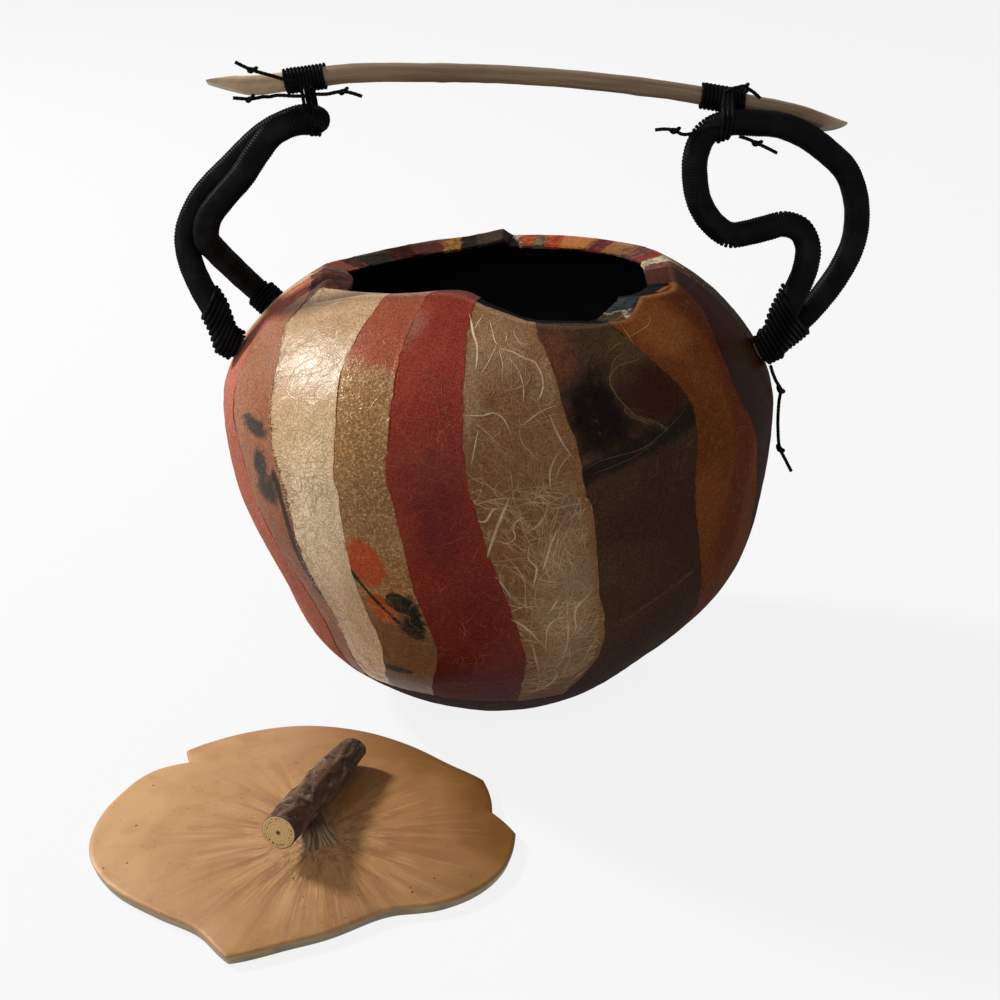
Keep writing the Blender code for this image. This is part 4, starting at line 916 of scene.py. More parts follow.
# Cord and vine
VINE_RADIUS = 0.0046
SERVING = 0.0014
SERVED_RADIUS = VINE_RADIUS + GAP + SERVING
FOOT_LEAD = 0.007
HANDLE_SPAN = 0.045
HANDLE_DEPTH = 0.014
HANDLE_RISE = 0.136
RIGHT_FEET = ((-6.5, 21.0), (1.0, 18.0))
LEFT_FEET = ((184.0, 21.0), (157.0, 22.0))
RIGHT_HANDLE_shares = (
    (-0.01, -0.93, 0.301), (0.13, -0.89, 0.412), (0.24, -0.86, 0.521), (0.25, -0.79, 0.592),
    (0.15, -0.71, 0.651), (-0.01, -0.64, 0.667), (-0.19, -0.57, 0.65), (-0.39, -0.43, 0.628),
    (-0.56, -0.36, 0.618), (-0.73, -0.29, 0.652), (-0.89, -0.14, 0.727), (-0.95, -0.07, 0.811),
    (-0.95, 0.0, 0.894), (-0.85, 0.07, 0.969), (-0.64, 0.07, 1.004), (-0.38, 0.07, 1.004),
    (-0.09, 0.11, 0.996), (0.18, 0.21, 0.959), (0.45, 0.36, 0.895), (0.67, 0.5, 0.823), (0.78, 0.57, 0.742),
    (0.83, 0.64, 0.649), (0.81, 0.64, 0.557), (0.71, 0.57, 0.47), (0.55, 0.5, 0.382), (0.35, 0.36, 0.303),
    (0.15, 0.21, 0.244),
)
LEFT_HANDLE_shares = (
    (0.05, -0.36, 0.318), (0.23, 0.25, 0.401), (0.37, 0.85, 0.489), (0.41, 1.3, 0.563), (0.31, 1.5, 0.655),
    (0.13, 1.55, 0.736), (-0.08, 1.55, 0.803), (-0.26, 1.5, 0.862), (-0.47, 1.43, 0.925),
    (-0.68, 1.36, 0.967), (-0.89, 1.29, 0.993), (-1.02, 1.07, 0.998), (-1.08, 0.68, 1.0),
    (-1.02, 0.29, 1.003), (-0.89, 0.07, 1.006), (-0.65, -0.07, 0.975), (-0.47, -0.29, 0.909),
    (-0.3, -0.29, 0.828), (-0.1, -0.21, 0.754), (0.07, -0.07, 0.682), (0.156, 0.43, 0.593),
    (0.084, 1.57, 0.486), (0.013, 2.71, 0.404), (-0.069, 3.71, 0.325),
)
STICK_RADIUS = 0.0045
LEFT_TIP_CUT = 0.023
LEFT_TIP_LEVEL = 0.2
LEFT_TIP_BLUNT = 0.06
PICTURE_UP = (0.0, 0.42, 0.91)
RIGHT_TIP_CUT = 0.015
STICK_KNOTS = ((0.00040, 0.112, 0.004), (0.00032, 0.205, 0.005))
STICK_shares = (
    (-0.768, 0.43, 1.13), (-0.649, 0.47, 1.124), (-0.518, 0.51, 1.144), (-0.414, 0.54, 1.161),
    (-0.181, 0.62, 1.165), (0.0, 0.68, 1.158), (0.259, 0.77, 1.13), (0.521, 0.86, 1.082),
    (0.639, 0.9, 1.054), (0.784, 0.95, 1.013), (0.916, 1.0, 0.949),
)
REACH = WIDEST_RADIUS + HANDLE_SPAN


def read_off(wanted, known, columns):
    """A table's columns, known at some places, read off at others."""
    return np.stack([np.interp(wanted, known, column) for column in columns.T], -1)


def fine_path(points, count):
    """Evenly spaced points along the smooth curve through given ones."""
    points = np.asarray(points, float)
    spacing = arc_lengths(points[:, :3])
    fine = flow(np.linspace(0, spacing[-1], count * 8), spacing, points)
    length = arc_lengths(fine[:, :3])
    wanted = np.linspace(0, length[-1], count)
    return read_off(wanted, length, fine)


def along(path, distance):
    """Points at distances along a path, with the path's direction and two square to it there."""
    length = arc_lengths(path)
    direction = unit(np.gradient(path, axis=0))
    spread = np.linalg.svd(path - path.mean(0), full_matrices=False)[2][2]
    ahead = unit(read_off(distance, length, direction))
    side = unit(np.cross(ahead, spread))
    return read_off(distance, length, path), ahead, side, np.cross(ahead, side)


def handle_path(shares, feet, side):
    """The vine's line: square off the paper, through its shaped points and square back on."""
    shaped = [(side * (WIDEST_RADIUS + HANDLE_SPAN * a), HANDLE_DEPTH * b, WIDEST_HEIGHT + HANDLE_RISE * c)
              for a, b, c in shares]
    seat = GAP + PAPER + GAP
    ends = [[skin(turn, math.radians(lift), seat), skin(turn, math.radians(lift), seat + FOOT_LEAD)]
            for turn, lift in feet]
    return fine_path([*ends[0], *shaped, *ends[1][::-1]], 400)


def strand(name, centre, outward, radius, sides=8, ply=0.0, lay=0.006, beside_share=1.0):
    """A cord along a line of points: ring = centre + radius (cos a outward + beside share x sin a beside).

    With ply the radius swells twice a turn along a helix of pitch lay, as two-strand twine does.
    """
    ahead = unit(np.gradient(centre, axis=0))
    out = unit(outward - ahead * (outward * ahead).sum(-1, keepdims=True))
    beside = np.cross(ahead, out)
    angle = round_angles(sides)
    distance = arc_lengths(centre)[:, None]
    swell = radius * (1 + ply * np.cos(2 * (angle - 2 * np.pi * distance / lay)))
    cosine, sine = np.cos(angle)[:, None], np.sin(angle)[:, None]
    ring = cosine * out[:, None] + beside_share * sine * beside[:, None]
    grid = centre[:, None] + swell[..., None] * ring
    return surface(name, grid, "vessel", uv=uv_round(angle, distance / 0.01))


SERVING_PITCH = 0.00138
SERVING_HALF_WIDTH = 0.00098
SERVING_HALF_HEIGHT = 0.00076
SERVING_UNEVEN = 0.00007
SERVING_SEAT = 0.00015


def serving(name, path, core):
    """Cord wound close along a vine: helix of radius core + half height about the path, one turn to a pitch.

    The cord is oval, pressed flat against the vine: half width along the path, half height out from it.
    """
    total = arc_lengths(path)[-1]
    turns_count = (total - 2 * SERVING_HALF_WIDTH) / SERVING_PITCH
    turn = np.linspace(0, turns_count, int(turns_count * 18))
    uneven = SERVING_UNEVEN * np.cos(0.9 * turn) * np.cos(0.37 * turn + 1)
    centre, _, side, other = along(path, SERVING_HALF_WIDTH + turn * SERVING_PITCH)
    outward = turned(2 * np.pi * turn, side, other)
    line = centre + outward * (core + SERVING_HALF_HEIGHT + uneven[:, None])
    beside = SERVING_HALF_WIDTH / SERVING_HALF_HEIGHT
    return strand(name, line, outward, SERVING_HALF_HEIGHT, sides=6, beside_share=beside)


LASHING_RADIUS = 0.00102
LASHING_PITCH = 0.00209
LASHING_REACH = 0.045
LASHING_STEP = 0.0009


def wrap(name, guide, start, turns_count, fine, strands, tie=None, tie_turns=None):
    """Lashing: a taut cord round parallel strands in planes square to the guide at its start.

    In each direction the point is on the strand that reaches furthest: centre + outward (radius + cord), with
    the oval that a leaning strand cuts in the plane. The tie is a further strand, for some of the turns only.
    """
    cord, pitch = fine * LASHING_RADIUS, fine * LASHING_PITCH
    begin, ahead = [part[0] for part in along(guide, np.array([start]))[:2]]
    upward = np.array((0.0, 0.0, 1.0))
    side = unit(upward - ahead * (upward @ ahead))
    other = np.cross(ahead, side)
    turn = np.linspace(0, turns_count, turns_count * 40)
    outward = turned(2 * np.pi * turn, side, other)
    best = np.full(len(turn), -np.inf)
    points = np.zeros((len(turn), 3))
    for number, (path, radius) in enumerate(list(strands) + ([tie] if tie else [])):
        path = path[np.linalg.norm(path - begin, axis=1) < LASHING_REACH]
        height = (path - begin) @ ahead
        order = np.argsort(height)
        direction = unit(np.gradient(path, axis=0))
        centre = read_off(turn * pitch, height[order], path[order])
        lean = read_off(turn * pitch, height[order], direction[order])
        square = (lean @ ahead)[:, None]
        sloped = lean - ahead * square
        slope = np.linalg.norm(sloped, axis=1, keepdims=True)
        sloped = sloped / np.maximum(slope, 1e-9)
        stretch = 1 / np.clip(np.abs(square), 0.8, 1)
        share = (outward * sloped).sum(1, keepdims=True)
        rest = outward - sloped * share
        reach = radius * np.sqrt((stretch * share) ** 2 + (rest ** 2).sum(1, keepdims=True))
        offset = radius ** 2 * (stretch ** 2 * share * sloped + rest) / reach
        support = (centre * outward).sum(1) + reach[:, 0]
        if tie and number == len(strands):
            support = np.where((turn >= tie_turns[0]) & (turn <= tie_turns[1]), support, -np.inf)
        better = support > best
        points[better] = (centre + offset + outward * (cord + 0.0001))[better]
        best = np.where(better, support, best)
    spacing = arc_lengths(points)
    keep = np.concatenate([[True], np.diff(spacing) > 1e-5])
    points, outward = points[keep], outward[keep]
    spacing = arc_lengths(points)
    even = np.linspace(0, spacing[-1], int(spacing[-1] / LASHING_STEP))
    points = read_off(even, spacing, points)
    outward = unit(read_off(even, spacing, outward))
    smooth = np.array((1, 2, 3, 2, 1)) / 9
    padded = np.concatenate([points[:1]] * 2 + [points] + [points[-1:]] * 2)
    points = np.stack([np.convolve(column, smooth, "valid") for column in padded.T], -1)
    return strand(name, points, outward, cord, sides=8, ply=0.05, lay=0.0045)


def waxed(name, base=(0.0062, 0.0060, 0.0063), roughness=0.50):
    """Black waxed twine: fine twisted fibres, dusty grey on its crowns."""
    finish = Finish(name, roughness=roughness, specular=0.0, coat=0.04)
    dust = finish.noise(75, 4)
    fibre = finish.noise(1, 3, 0.0, finish.mapped(scale=(26, 900, 1), source=finish.uv))
    finish.set("Base Color", (dust.rise(0.42, 0.75) * 0.75).blend(base, (0.0165, 0.0160, 0.0160)))
    finish.set("Roughness", dust * 0.25 + (roughness - 0.14) + fibre * 0.08)
    finish.emboss(fibre * 0.6 + finish.noise(900, 2) * 0.6, 0.00012)
    return finish


twine = waxed("black_waxed_twine")
tie_twine = waxed("black_tie_twine", (0.0046, 0.0044, 0.0044), 0.60)
vine_look = Finish("bare_vine", roughness=0.7)
bark = vine_look.noise(55, 5, 0.4, vine_look.mapped(scale=(1, 1, 0.35)))
vine_look.set("Base Color", bark.blend((0.085, 0.055, 0.035), (0.16, 0.105, 0.062)))
vine_look.emboss(bark, 0.0004)

right_path = handle_path(RIGHT_HANDLE_shares, RIGHT_FEET, 1)
left_path = handle_path(LEFT_HANDLE_shares, LEFT_FEET, -1)
for side_name, path in (("right", right_path), ("left", left_path)):
    wound = serving(side_name + "_serving", path, VINE_RADIUS + SERVING_SEAT)
    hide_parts(side_name + "_handle_serving")
    dress(wound, twine)
    dress(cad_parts[side_name + "_handle_vine"], vine_look)

stick_points = [(REACH * a, HANDLE_DEPTH * b, WIDEST_HEIGHT + HANDLE_RISE * c) for a, b, c in STICK_shares]
stick_path = fine_path(stick_points, 300)
left_front, left_back = left_path[:200], left_path[::-1][:200]
right_front, right_back = right_path[:200], right_path[::-1][:200]
distances = np.linspace(0, 0.03, 12)
foot_guide = (along(right_front, distances)[0] + along(right_back, distances)[0]) / 2
stick_start = np.interp((-0.556 * REACH, 0.526 * REACH), stick_path[:, 0], arc_lengths(stick_path))
right_feet = [(right_front, SERVED_RADIUS), (right_back, SERVED_RADIUS)]
peeled = [(stick_path, STICK_RADIUS)]
LASHINGS = (
    ("right_foot", foot_guide, 0.002, 11, 1.0, right_feet),
    ("left_front_foot", left_front, 0.002, 10, 1.0, [(left_front, SERVED_RADIUS)]),
    ("left_back_foot", left_back, 0.002, 4, 1.0, [(left_back, SERVED_RADIUS)]),
    ("left_stick", stick_path, stick_start[0], 11, 0.82, peeled, (left_path, SERVED_RADIUS), (4, 7)),
    ("right_stick", stick_path, stick_start[1], 11, 0.92, peeled, (right_path, SERVED_RADIUS), (5, 8)),
)
for name, *lashing in LASHINGS:
    wound = wrap(name + "_wrap", *lashing)
    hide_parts(name + "_lashing")
    dress(wound, tie_twine)


# Loose ends with their overhand knots, on the routes of the solids
TAIL_ROUTES = {
    "left_tail_upper": (
        (-0.0952, 0.0009, 0.311, 0), (-0.0995, -0.0012, 0.3122, 0), (-0.1048, -0.0025, 0.3141, 0),
        (-0.1097, -0.003, 0.3156, 0), (-0.1143, -0.003, 0.317, 1), (-0.1183, -0.003, 0.3188, 0),
        (-0.1219, -0.003, 0.3207, 0),
    ),
    "left_tail_lower": (
        (-0.0898, -0.001, 0.3044, 0), (-0.096, -0.001, 0.3045, 0), (-0.1047, -0.0016, 0.3048, 0),
        (-0.1068, -0.002, 0.3044, 0), (-0.1095, -0.0028, 0.3046, 0), (-0.1125, -0.0035, 0.3042, 0),
        (-0.1159, -0.0035, 0.3037, 1), (-0.12, -0.0035, 0.3039, 0), (-0.1237, -0.0035, 0.3042, 0),
    ),
    "left_tail_inner": (
        (-0.0864, 0.0022, 0.3046, 0), (-0.0797, -0.001, 0.3055, 0), (-0.076, -0.002, 0.3065, 0),
        (-0.0726, -0.0022, 0.3069, 1), (-0.0681, -0.0022, 0.306, 0), (-0.0639, -0.0022, 0.3046, 0),
    ),
    "left_tail_loop": (
        (-0.0967, -0.0054, 0.2993, 0), (-0.0941, -0.0074, 0.3, 0), (-0.0909, -0.0084, 0.2988, 0),
        (-0.0875, -0.0088, 0.2962, 0), (-0.0845, -0.0088, 0.2935, 1), (-0.0825, -0.0086, 0.2922, 0),
        (-0.0806, -0.0084, 0.2915, 0),
    ),
    "right_tail_upper": (
        (0.1055, 0.0052, 0.3051, 0), (0.1095, 0.0037, 0.3072, 0), (0.1136, 0.003, 0.3078, 1),
        (0.1174, 0.003, 0.3059, 0), (0.1214, 0.003, 0.3026, 0),
    ),
    "right_tail_inner": (
        (0.1041, -0.0073, 0.292, 0), (0.0986, -0.0074, 0.2922, 0), (0.0935, -0.008, 0.2905, 0),
        (0.088, -0.0084, 0.2885, 0), (0.0845, -0.0084, 0.2884, 0), (0.0813, -0.008, 0.29, 1),
        (0.0761, -0.008, 0.2907, 0), (0.072, -0.008, 0.2903, 0),
    ),
    "right_tail_outer": (
        (0.1114, -0.006, 0.2868, 0), (0.1158, -0.0068, 0.2856, 0), (0.1197, -0.0079, 0.284, 1),
        (0.1245, -0.008, 0.2818, 0), (0.1293, -0.008, 0.2794, 0),
    ),
    "right_foot_tail": (
        (0.1309, -0.0194, 0.1778, 0), (0.132, -0.0193, 0.1745, 0), (0.1337, -0.019, 0.1705, 0),
        (0.1369, -0.017, 0.1642, 1), (0.1368, -0.0155, 0.1581, 0), (0.137, -0.014, 0.1493, 0),
        (0.1377, -0.0125, 0.1409, 0), (0.1396, -0.0112, 0.1302, 1), (0.1426, -0.01, 0.1243, 0),
        (0.1462, -0.009, 0.1173, 0),
    ),
}
TAIL_RADIUS = 0.00085
KNOT_SIZE = 0.0026


def overhand(name, middle, direction):
    """An overhand knot pulled snug: x = t^3 - 3t, y = t^4 - 4t^2, z = t^5 - 10t, with z along the cord."""
    t = np.linspace(-1.78, 1.78, 90)
    flat = unit(np.cross(direction, (0.31, 0.90, 0.27)))
    deep = np.cross(direction, flat)
    x, y, z = (t ** 3 - 3 * t) / 2, (t ** 4 - 4 * t ** 2 + 2) / 2, (t ** 5 - 10 * t) / 12
    curve = 0.46 * x[:, None] * flat + 0.50 * y[:, None] * deep + 0.80 * z[:, None] * direction
    line = middle + KNOT_SIZE * curve
    return strand(name, line, flat + 0.3 * deep + 0 * line, TAIL_RADIUS, sides=8, ply=0.04)


for name, route in TAIL_ROUTES.items():
    route = np.array(route)
    path = fine_path(route[:, :3], 60)
    spread = np.linalg.svd(path - path.mean(0), full_matrices=False)[2][2]
    tail = strand(name + "_cord", path, spread + 0 * path, TAIL_RADIUS, sides=10, ply=0.06, lay=0.004)
    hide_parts(name)
    dress(tail, tie_twine)
    for k in np.flatnonzero(route[:, 3]):
        way = unit(route[min(k + 1, len(route) - 1), :3] - route[k - 1, :3])
        knot = overhand(f"{name}_knot_{k}", route[k, :3], way)
        dress(knot, tie_twine)
    name == "right_foot_tail"


# Stick: peeled wood, its left tip cut to a wedge and its right one on a slant
def peeled_stick(name):
    """Round stick along its path: rows run between the two cut ends, ring radius swells at old knots.

    Distance of a point = blend of the cut lines. The left end is a wedge: its distance grows with the height
    over or under the point's level. The right cut slides a side back by cut x (1 - cosine) / 2.
    """
    total = arc_lengths(stick_path)[-1]
    angle = round_angles(48)
    _, _, side, other = along(stick_path, np.array([0.0, total]))
    left_ring, right_ring = [turned(angle, side[i], other[i]) for i in (0, 1)]
    level = left_ring @ np.array(PICTURE_UP) - LEFT_TIP_LEVEL
    cut_share = LEFT_TIP_CUT / (1 + LEFT_TIP_LEVEL)
    first = cut_share * np.hypot(level, LEFT_TIP_BLUNT)
    last = total - RIGHT_TIP_CUT * (1 - right_ring @ unit(np.array((0.0, 1.0, 1.0)))) / 2
    blend = np.linspace(0, 1, 260)[:, None]
    distance = first * (1 - blend) + last * blend
    inner = np.linspace(0.08, 0.92, 12)[:, None]
    wedge = cut_share * np.hypot(inner * (level + LEFT_TIP_LEVEL) - LEFT_TIP_LEVEL, LEFT_TIP_BLUNT)
    distance = np.concatenate([wedge, distance])
    size = np.concatenate([inner, np.ones_like(blend)])
    centre, _, side, other = along(stick_path, distance)
    knot = sum(rise * np.exp(-((distance - place) / half) ** 2) for rise, place, half in STICK_KNOTS)
    taper = 0.00020 * np.cos(distance / total * 5.0)
    radius = size * (STICK_RADIUS - 0.00010 + knot * (0.5 + 0.5 * np.cos(angle - 1.2)) + taper)
    grid = centre + radius[..., None] * turned(angle, side, other)
    grid = grid + 0.00006 * ripples(grid, 0.012, 12)[..., None] * unit(grid - centre)
    return surface(name, grid, "vessel", uv=uv_round(angle, distance / 0.1))


stick = peeled_stick("peeled_stick")
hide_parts("stick")
wood = Finish("peeled_wood", roughness=0.5, specular=0.25)
long_grain = wood.noise(1, 4, 0.3, wood.mapped(scale=(14, 2.2, 1), source=wood.uv))
fine_grain = wood.noise(1, 4, 0.2, wood.mapped(scale=(60, 8, 1), source=wood.uv))
stain = wood.noise(26, 4, 0.5)
tone = long_grain.rise(0.34, 0.68).blend((0.185, 0.117, 0.067), (0.280, 0.187, 0.112))
along_stick = wood.across("Y", wood.uv)
tip = along_stick.rise(0.60, 0.30).most(along_stick.rise(2.85, 3.10)) * stain.rise(0.70, 0.45)
wood.layers(tone, (fine_grain.rise(0.58, 0.75) * 0.6, (0.100, 0.064, 0.038)),
            (stain.rise(0.54, 0.74) * 0.7, (0.130, 0.084, 0.048)),
            (wood.specks(110, 0.10) * stain.rise(0.4, 0.6), (0.045, 0.026, 0.015)),
            (tip * 0.9, (0.62, 0.44, 0.26)))
wood.set("Roughness", fine_grain * 0.25 + 0.36)
wood.emboss(long_grain * 0.5 + fine_grain * 0.6 + stain * 0.3, 0.00035)
dress(stick, wood)

# Lid and stem, in the lid's own frame and laid on the floor
LID_PLACE = np.array((-0.0775, -0.1631, 0.0))
LID_TURN = math.radians(50.0)
LID_EDGE = 0.0052
LID_CROWN = 0.009
LID_WALL = 0.005
STALK_PLACE = np.array((-0.0129, -0.0062))
NEAR = np.array((-0.0360, -0.0062, 0.0290))
FAR = np.array((0.0443, 0.0263, 0.0200))
THICK = 0.0082
THIN = 0.0066
FAR_CUT = 0.004
LID_PLAY = 0.0004
LID_UNDER_EDGE = ((0.0004, 0.0028), (0.0011, 0.0006), (0.0015, 0.0), (0.0055, 0.0))
BARK_RELIEF = 0.00034
NEAR_END_DIP = 0.00048
KNOB_RISE = 0.0009
SAWN_BULGE = 0.0003
SAWN_RADIUS = 0.0076
STALK_RADIUS = 0.0044
STALK_FLARE = 0.0044
STALK_HEAD_FLARE = 0.0012


def on_lid(points):
    """From the lid's frame to the room: turned about Z and laid in its place."""
    x, y, z = np.moveaxis(points, -1, 0)
    cosine, sine = math.cos(LID_TURN), math.sin(LID_TURN)
    return np.stack([x * cosine - y * sine, x * sine + y * cosine, z], -1) + LID_PLACE


def lid_height(share, turn):
    """Height of the lid's top at a share of its reach: a low dome, even at its middle, true to the outline.

    Share used = share x (outline radius blended into its mean over neighbouring turns) / that mean.
    """
    reach = mouth_radius(turn)
    even = sum(mouth_radius(turn + step) for step in range(-40, 41, 8)) / 11
    kept = share ** 4
    level = share * (kept + (1 - kept) * reach / even)
    return LID_EDGE + LID_CROWN * (1 - np.minimum(level, 1.0) ** 2)


turns = np.arange(0, 360, 0.8)
reach = mouth_radius(turns) - LID_PLAY
angle = np.radians(turns)
top = np.linspace(0.012, 0.992, 64)[:, None]
rows_share = np.concatenate([top, [[1.0]], [[1.0]]])
drop = np.concatenate([0 * top, [[0.0005]], [[0.0012]]])
plan = reach * rows_share
x, y = plan * np.cos(angle), plan * np.sin(angle)
beside = np.hypot(x - STALK_PLACE[0], y - STALK_PLACE[1])
turn_there = np.arctan2(y - STALK_PLACE[1], x - STALK_PLACE[0])
rays = np.cos(17 * turn_there + 1.3 * np.cos(3 * turn_there)) * np.exp(-(beside - 0.010) / 0.016)
swell = 0.00014 * rays + 0.00012 * ripples(np.stack([x, y, 0 * x], -1), 0.022, 5)
height = lid_height(rows_share, turns) - drop + swell * (rows_share < 0.97)
shell_top = np.stack([x, y, height], -1)
under = [np.stack([(reach - inset) * np.cos(angle), (reach - inset) * np.sin(angle), 0 * angle + level], -1)
         for inset, level in LID_UNDER_EDGE]
below = [np.stack([reach * s * np.cos(angle), reach * s * np.sin(angle), lid_height(s, turns) - LID_WALL], -1)
         for s in np.linspace(0.86, 0.02, 24)]
lid_grid = np.concatenate([shell_top, np.array(under), np.array(below)])
cut = np.concatenate([np.zeros(len(shell_top) - 1), [0.6], np.ones(3), np.full(len(below) + 1, 1.0)])[:, None]
every_point = np.ones(lid_grid.shape[:2])
inner_rows = (np.arange(len(lid_grid)) > len(shell_top) + 3)[:, None]
lid = surface("lid_plate", on_lid(lid_grid), "lid",
              marks={"cut": cut * every_point, "inside": inner_rows * every_point})
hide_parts("lid_shell")

stem_spot = on_lid(np.array((*STALK_PLACE, 0.0)))
lid_look = Finish("lid_skin_look", roughness=0.42, specular=0.20)
from_stem = lid_look.mapped(shift=tuple(stem_spot))
stem_x, stem_y = lid_look.across("X", from_stem), lid_look.across("Y", from_stem)
out_of_stem = lid_look.add("ShaderNodeVectorMath", {"operation": "LENGTH"}, {0: from_stem}, "Value")
bearing = lid_look.add("ShaderNodeVectorMath", {"operation": "NORMALIZE"}, {0: from_stem})
fan = lid_look.noise(1, 4, 0.2, lid_look.mapped(scale=(9, 9, 0.5), source=bearing))
fan_fine = lid_look.noise(1, 4, 0.1, lid_look.mapped(scale=(26, 26, 0.5), source=bearing))
near_stem = out_of_stem.rise(0.090, 0.008)
cloud = lid_look.noise(15, 4, 0.6)
mottle = lid_look.noise(70, 4, 0.4)
tone = cloud.rise(0.35, 0.68).blend((0.43, 0.218, 0.084), (0.505, 0.285, 0.122))
# Painted shade: towards the lid's right side its colour darkens to a dark olive brown, as the side turned
# from the light.
painted_shade_side = (stem_x * 6.5 + stem_y * 4.0 + (cloud - 0.5) * 1.3).rise(0.0, 0.75)
lid_look.layers(
    tone, (mottle.rise(0.45, 0.75) * 0.5, (0.36, 0.165, 0.062)), (painted_shade_side * 0.95, (0.190, 0.076, 0.012)),
    (near_stem * fan.rise(0.42, 0.62) * 0.75, (0.24, 0.098, 0.038)),
    (near_stem * fan_fine.rise(0.52, 0.70) * 0.6, (0.60, 0.37, 0.19)),
    (lid_look.specks(300, 0.16) * mottle.rise(0.47, 0.60) * 0.8, (0.20, 0.085, 0.036)),
    (lid_look.specks(120, 0.085) * cloud.rise(0.46, 0.58), (0.10, 0.045, 0.022)),
    (lid_look.threads(30, 0.004) * mottle.rise(0.5, 0.65) * 0.5, (0.30, 0.130, 0.055)),
    (lid_look.read("cut").rise(0.3, 0.6),
     mottle.rise(0.35, 0.65).blend((0.30, 0.235, 0.140), (0.42, 0.330, 0.200))),
    (lid_look.read("inside").rise(0.3, 0.6), (0.012, 0.010, 0.009)))
lid_look.set("Roughness", mottle * 0.3 + 0.30)
relief = mottle * 0.4 + fan_fine * near_stem * 1.2 + cloud * 0.5 + lid_look.noise(600, 2) * 0.15
lid_look.emboss(relief, 0.00040)
dress(lid, lid_look)

# The crosspiece: a short length of vine with its bark on
length = np.linalg.norm(FAR - NEAR)
way = unit(FAR - NEAR)
side = unit(np.cross(way, (0.0, 0.0, 1.0)))
other = np.cross(side, way)
angle = round_angles(72)
around = turned(angle, side, other)
back = FAR_CUT * (1 - around @ unit(np.array((0.0, -1.0, -1.0)))) / 2
share = np.linspace(0, 1, 110)[:, None]
distance = share * (length - back)
swell_shares = flow(share, (0.0, 0.12, 0.3, 0.5, 0.75, 1.0), (1.0, 0.96, 0.98, 0.9, 0.6, 0.0))
radius = THIN + (THICK - THIN) * swell_shares - 0.0003
flat_line = NEAR + distance[..., None] * way
bark_rise = BARK_RELIEF * ripples(flat_line * np.array((0.45, 0.45, 1)) + around * 0.012, 0.0075, 21)
bark_rise = bark_rise - NEAR_END_DIP * np.exp(-(share / 0.010) ** 2)
knob = np.exp(-((distance - 0.046) / 0.003) ** 2) * (0.5 + 0.5 * np.cos(angle - 2.2))
bark_rise = bark_rise + KNOB_RISE * knob
bark_rise = bark_rise * even_rise((1 - share) / 0.06)
crosspiece = flat_line + (radius + bark_rise)[..., None] * around
bar = surface("stem_crosspiece", on_lid(crosspiece), "lid", uv=uv_round(angle, distance / 0.05))
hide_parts("lid_stem")
bark_look = Finish("stem_bark_look", roughness=0.8, specular=0.2)
grain = bark_look.noise(1, 5, 0.6, bark_look.mapped(scale=(7, 3.0, 1), source=bark_look.uv))
flake = bark_look.noise(210, 4, 1.0)
tone = grain.rise(0.36, 0.62).blend((0.048, 0.022, 0.012), (0.135, 0.068, 0.039))
flaky = bark_look.noise(1, 4, 0.8, bark_look.mapped(scale=(9, 7, 1), source=bark_look.uv))
bark_look.layers(tone, (flaky.rise(0.53, 0.66) * 0.65, (0.31, 0.225, 0.150)),
                 (flake.rise(0.42, 0.30) * 0.8, (0.020, 0.012, 0.009)))
bark_look.emboss(grain * 0.8 + flake * 0.9, 0.0009)
dress(bar, bark_look)

# Its sawn near end: pale wood, a ring of dark pores and a dark heart
disc_radius = np.concatenate([[0.0004], np.linspace(0.0008, SAWN_RADIUS, 16)])[:, None]
bulge = SAWN_BULGE * (1 - (disc_radius / SAWN_RADIUS) ** 2)
face = NEAR - way * 0.00045 + disc_radius[..., None] * around - way * bulge[..., None]
rim = NEAR - way * 0.0001 + 0.0079 * around
rear = NEAR + way * 0.0012 + 0.0070 * around
sawn = surface("stem_sawn_end", on_lid(np.concatenate([face, rim[None], rear[None]])), "lid")
end_look = Finish("sawn_end_look", roughness=0.7, specular=0.2)
middle = on_lid((NEAR - way * 0.0005)[None])[0]
centred = end_look.mapped(shift=tuple(middle))
from_heart = end_look.add("ShaderNodeVectorMath", {"operation": "LENGTH"}, {0: centred}, "Value")
wobble = end_look.noise(330, 3)
rings = end_look.add("ShaderNodeMath", {"operation": "SINE"}, {0: (from_heart + wobble * 0.0008) * 5200})
tone = rings.rise(-0.6, 0.9).blend((0.66, 0.43, 0.17), (0.84, 0.60, 0.27))
pores = end_look.specks(850, 0.42) * from_heart.rise(0.0050, 0.0056) * from_heart.rise(0.0072, 0.0066)
end_look.layers(tone, (pores * 0.9, (0.060, 0.032, 0.018)),
                (from_heart.rise(0.0013, 0.0008), (0.10, 0.055, 0.030)),
                (from_heart.rise(0.0072, 0.0078), (0.10, 0.055, 0.032)))
end_look.emboss(wobble + rings * 0.3, 0.0002)
dress(sawn, end_look)

# The stalk under it: a fibrous waist that flares onto the lid in root-like lobes
head = NEAR + 0.36 * (FAR - NEAR)
angle = round_angles(96)
rise = np.linspace(0, 1, 40)[:, None]
flare_levels = (0.0, 0.14, 0.4, 0.6, 0.85, 1.0)
flare = flow(rise, flare_levels, (1.0, 0.45, 0.10, 0.0, 0.0, 0.0))
top_flare = flow(rise, flare_levels, (0.0, 0.0, 0.0, 0.0, 0.6, 1.0))
lobes = 1 + 0.16 * flare * np.cos(5 * angle + 0.8) + 0.05 * np.cos(11 * angle + 2.0 * rise)
radius = (STALK_RADIUS + flare * STALK_FLARE + top_flare * STALK_HEAD_FLARE) * lobes
x = STALK_PLACE[0] + rise * (head[0] - STALK_PLACE[0]) + radius * np.cos(angle)
y = STALK_PLACE[1] + rise * (head[1] - STALK_PLACE[1]) + radius * np.sin(angle)
seat_turn = np.degrees(np.arctan2(y, x))
seat = lid_height(np.hypot(x, y) / mouth_radius(seat_turn), seat_turn) + 0.0001
stalk_grid = np.stack([x, y, seat + rise * (head[2] - seat)], -1)
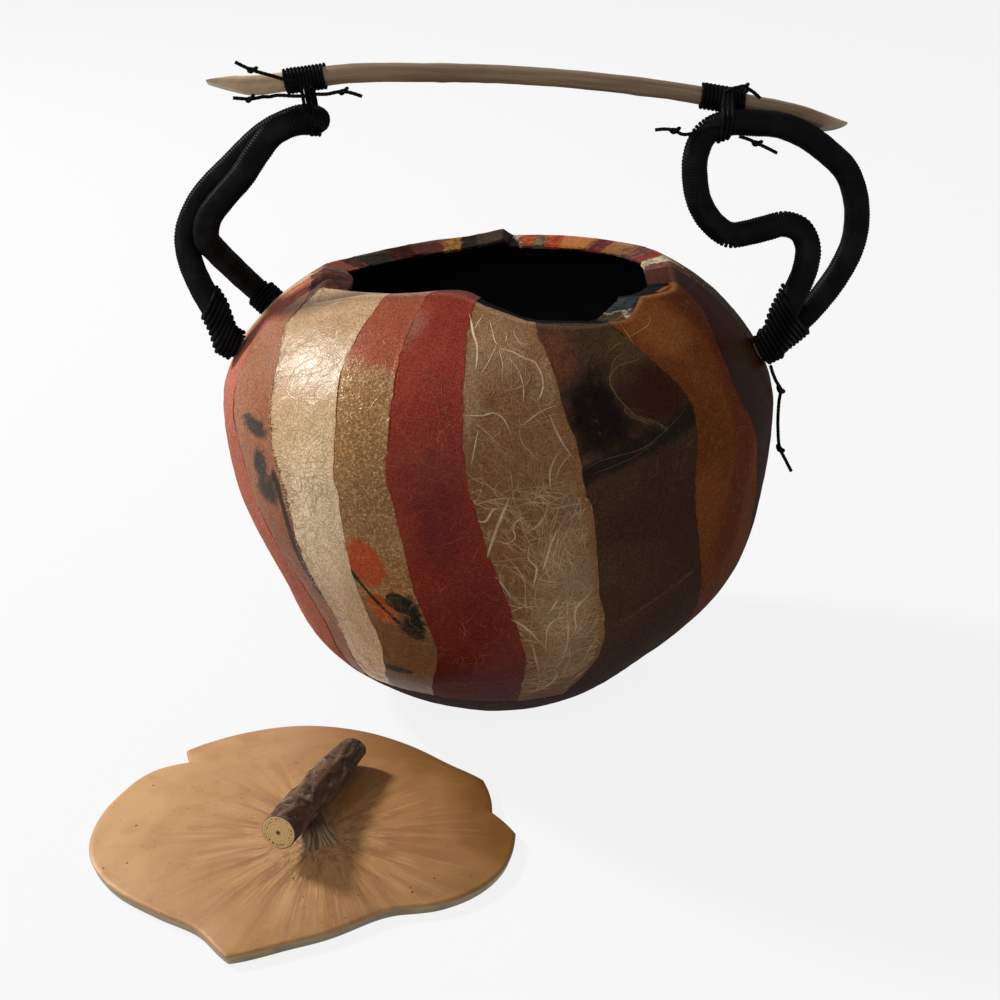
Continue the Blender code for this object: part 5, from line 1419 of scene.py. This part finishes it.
stalk = surface("stem_stalk", on_lid(stalk_grid), "lid", uv=uv_round(angle, rise))
stalk_look = Finish("stalk_fibre_look", roughness=0.75, specular=0.2)
fibre = stalk_look.noise(1, 4, 0.3, stalk_look.mapped(scale=(34, 2.0, 1), source=stalk_look.uv))
tone = fibre.rise(0.35, 0.65).blend((0.12, 0.060, 0.030), (0.42, 0.29, 0.17))
stalk_look.layers(tone, (stalk_look.across("Y", stalk_look.uv).rise(0.15, 0.5), (0.060, 0.030, 0.018)))
stalk_look.emboss(fibre, 0.0008)
dress(stalk, stalk_look)


# Room: a pale floor that meets a pale wall of light, soft lamps from the upper left
FLOOR_LEVEL = -0.0002
FLOOR_GLOW = 0.86
AMBIENT = 0.30
floor_mesh = bpy.data.meshes.new("floor")
floor_corners = [(x, y, FLOOR_LEVEL) for x, y in ((-4, -4), (4, -4), (4, 4), (-4, 4))]
floor_mesh.from_pydata(floor_corners, [], [(0, 1, 2, 3)])
floor = linked("floor", floor_mesh)
floor_look = Finish("pale_floor", roughness=0.9, specular=0.0)
floor_look.set("Base Color", (0.55, 0.55, 0.55))
lit = Wire(floor_look, floor_look.shader.outputs[0])
glow = floor_look.add("ShaderNodeEmission", {}, {})
seen = floor_look.seen_directly() * FLOOR_GLOW
part_glow = floor_look.add("ShaderNodeMixShader", {}, {0: seen, 1: lit, 2: glow})
floor_look.feed(floor_look.tree.nodes["Material Output"].inputs["Surface"], part_glow)
dress(floor, floor_look)

world = bpy.data.worlds.new("room")
bpy.context.scene.world = world
world.use_nodes = True
room = Nodes(world.node_tree)
ambient = room.tree.nodes["Background"]
room.feed(ambient.inputs["Color"], WHITE)
room.feed(ambient.inputs["Strength"], AMBIENT)
white = room.add("ShaderNodeBackground", {}, {"Color": WHITE})
background = room.add("ShaderNodeMixShader", {}, {
    0: room.seen_directly(), 1: Wire(room, ambient.outputs[0]), 2: white})
room.feed(room.tree.nodes["World Output"].inputs["Surface"], background)


def lamp(name, place, aim, size, power):
    """A square soft lamp aimed at a point."""
    light = bpy.data.lights.new(name, "AREA")
    light.size = size
    light.energy = power
    holder = linked(name, light)
    ahead = unit(np.array(aim, float) - np.array(place, float))
    holder.location = place
    holder.rotation_euler = (math.acos(-ahead[2]), 0.0, math.atan2(ahead[1], ahead[0]) - math.pi / 2)


lamp("left_rear_lamp", (-1.55, 0.74, 1.30), (0, 0, 0.1), 0.30, 52.0)
lamp("front_left_lamp", (-1.0, -2.0, 1.1), (0, 0, 0.15), 1.6, 10.0)

bpy.context.scene.view_settings.view_transform = "Standard"
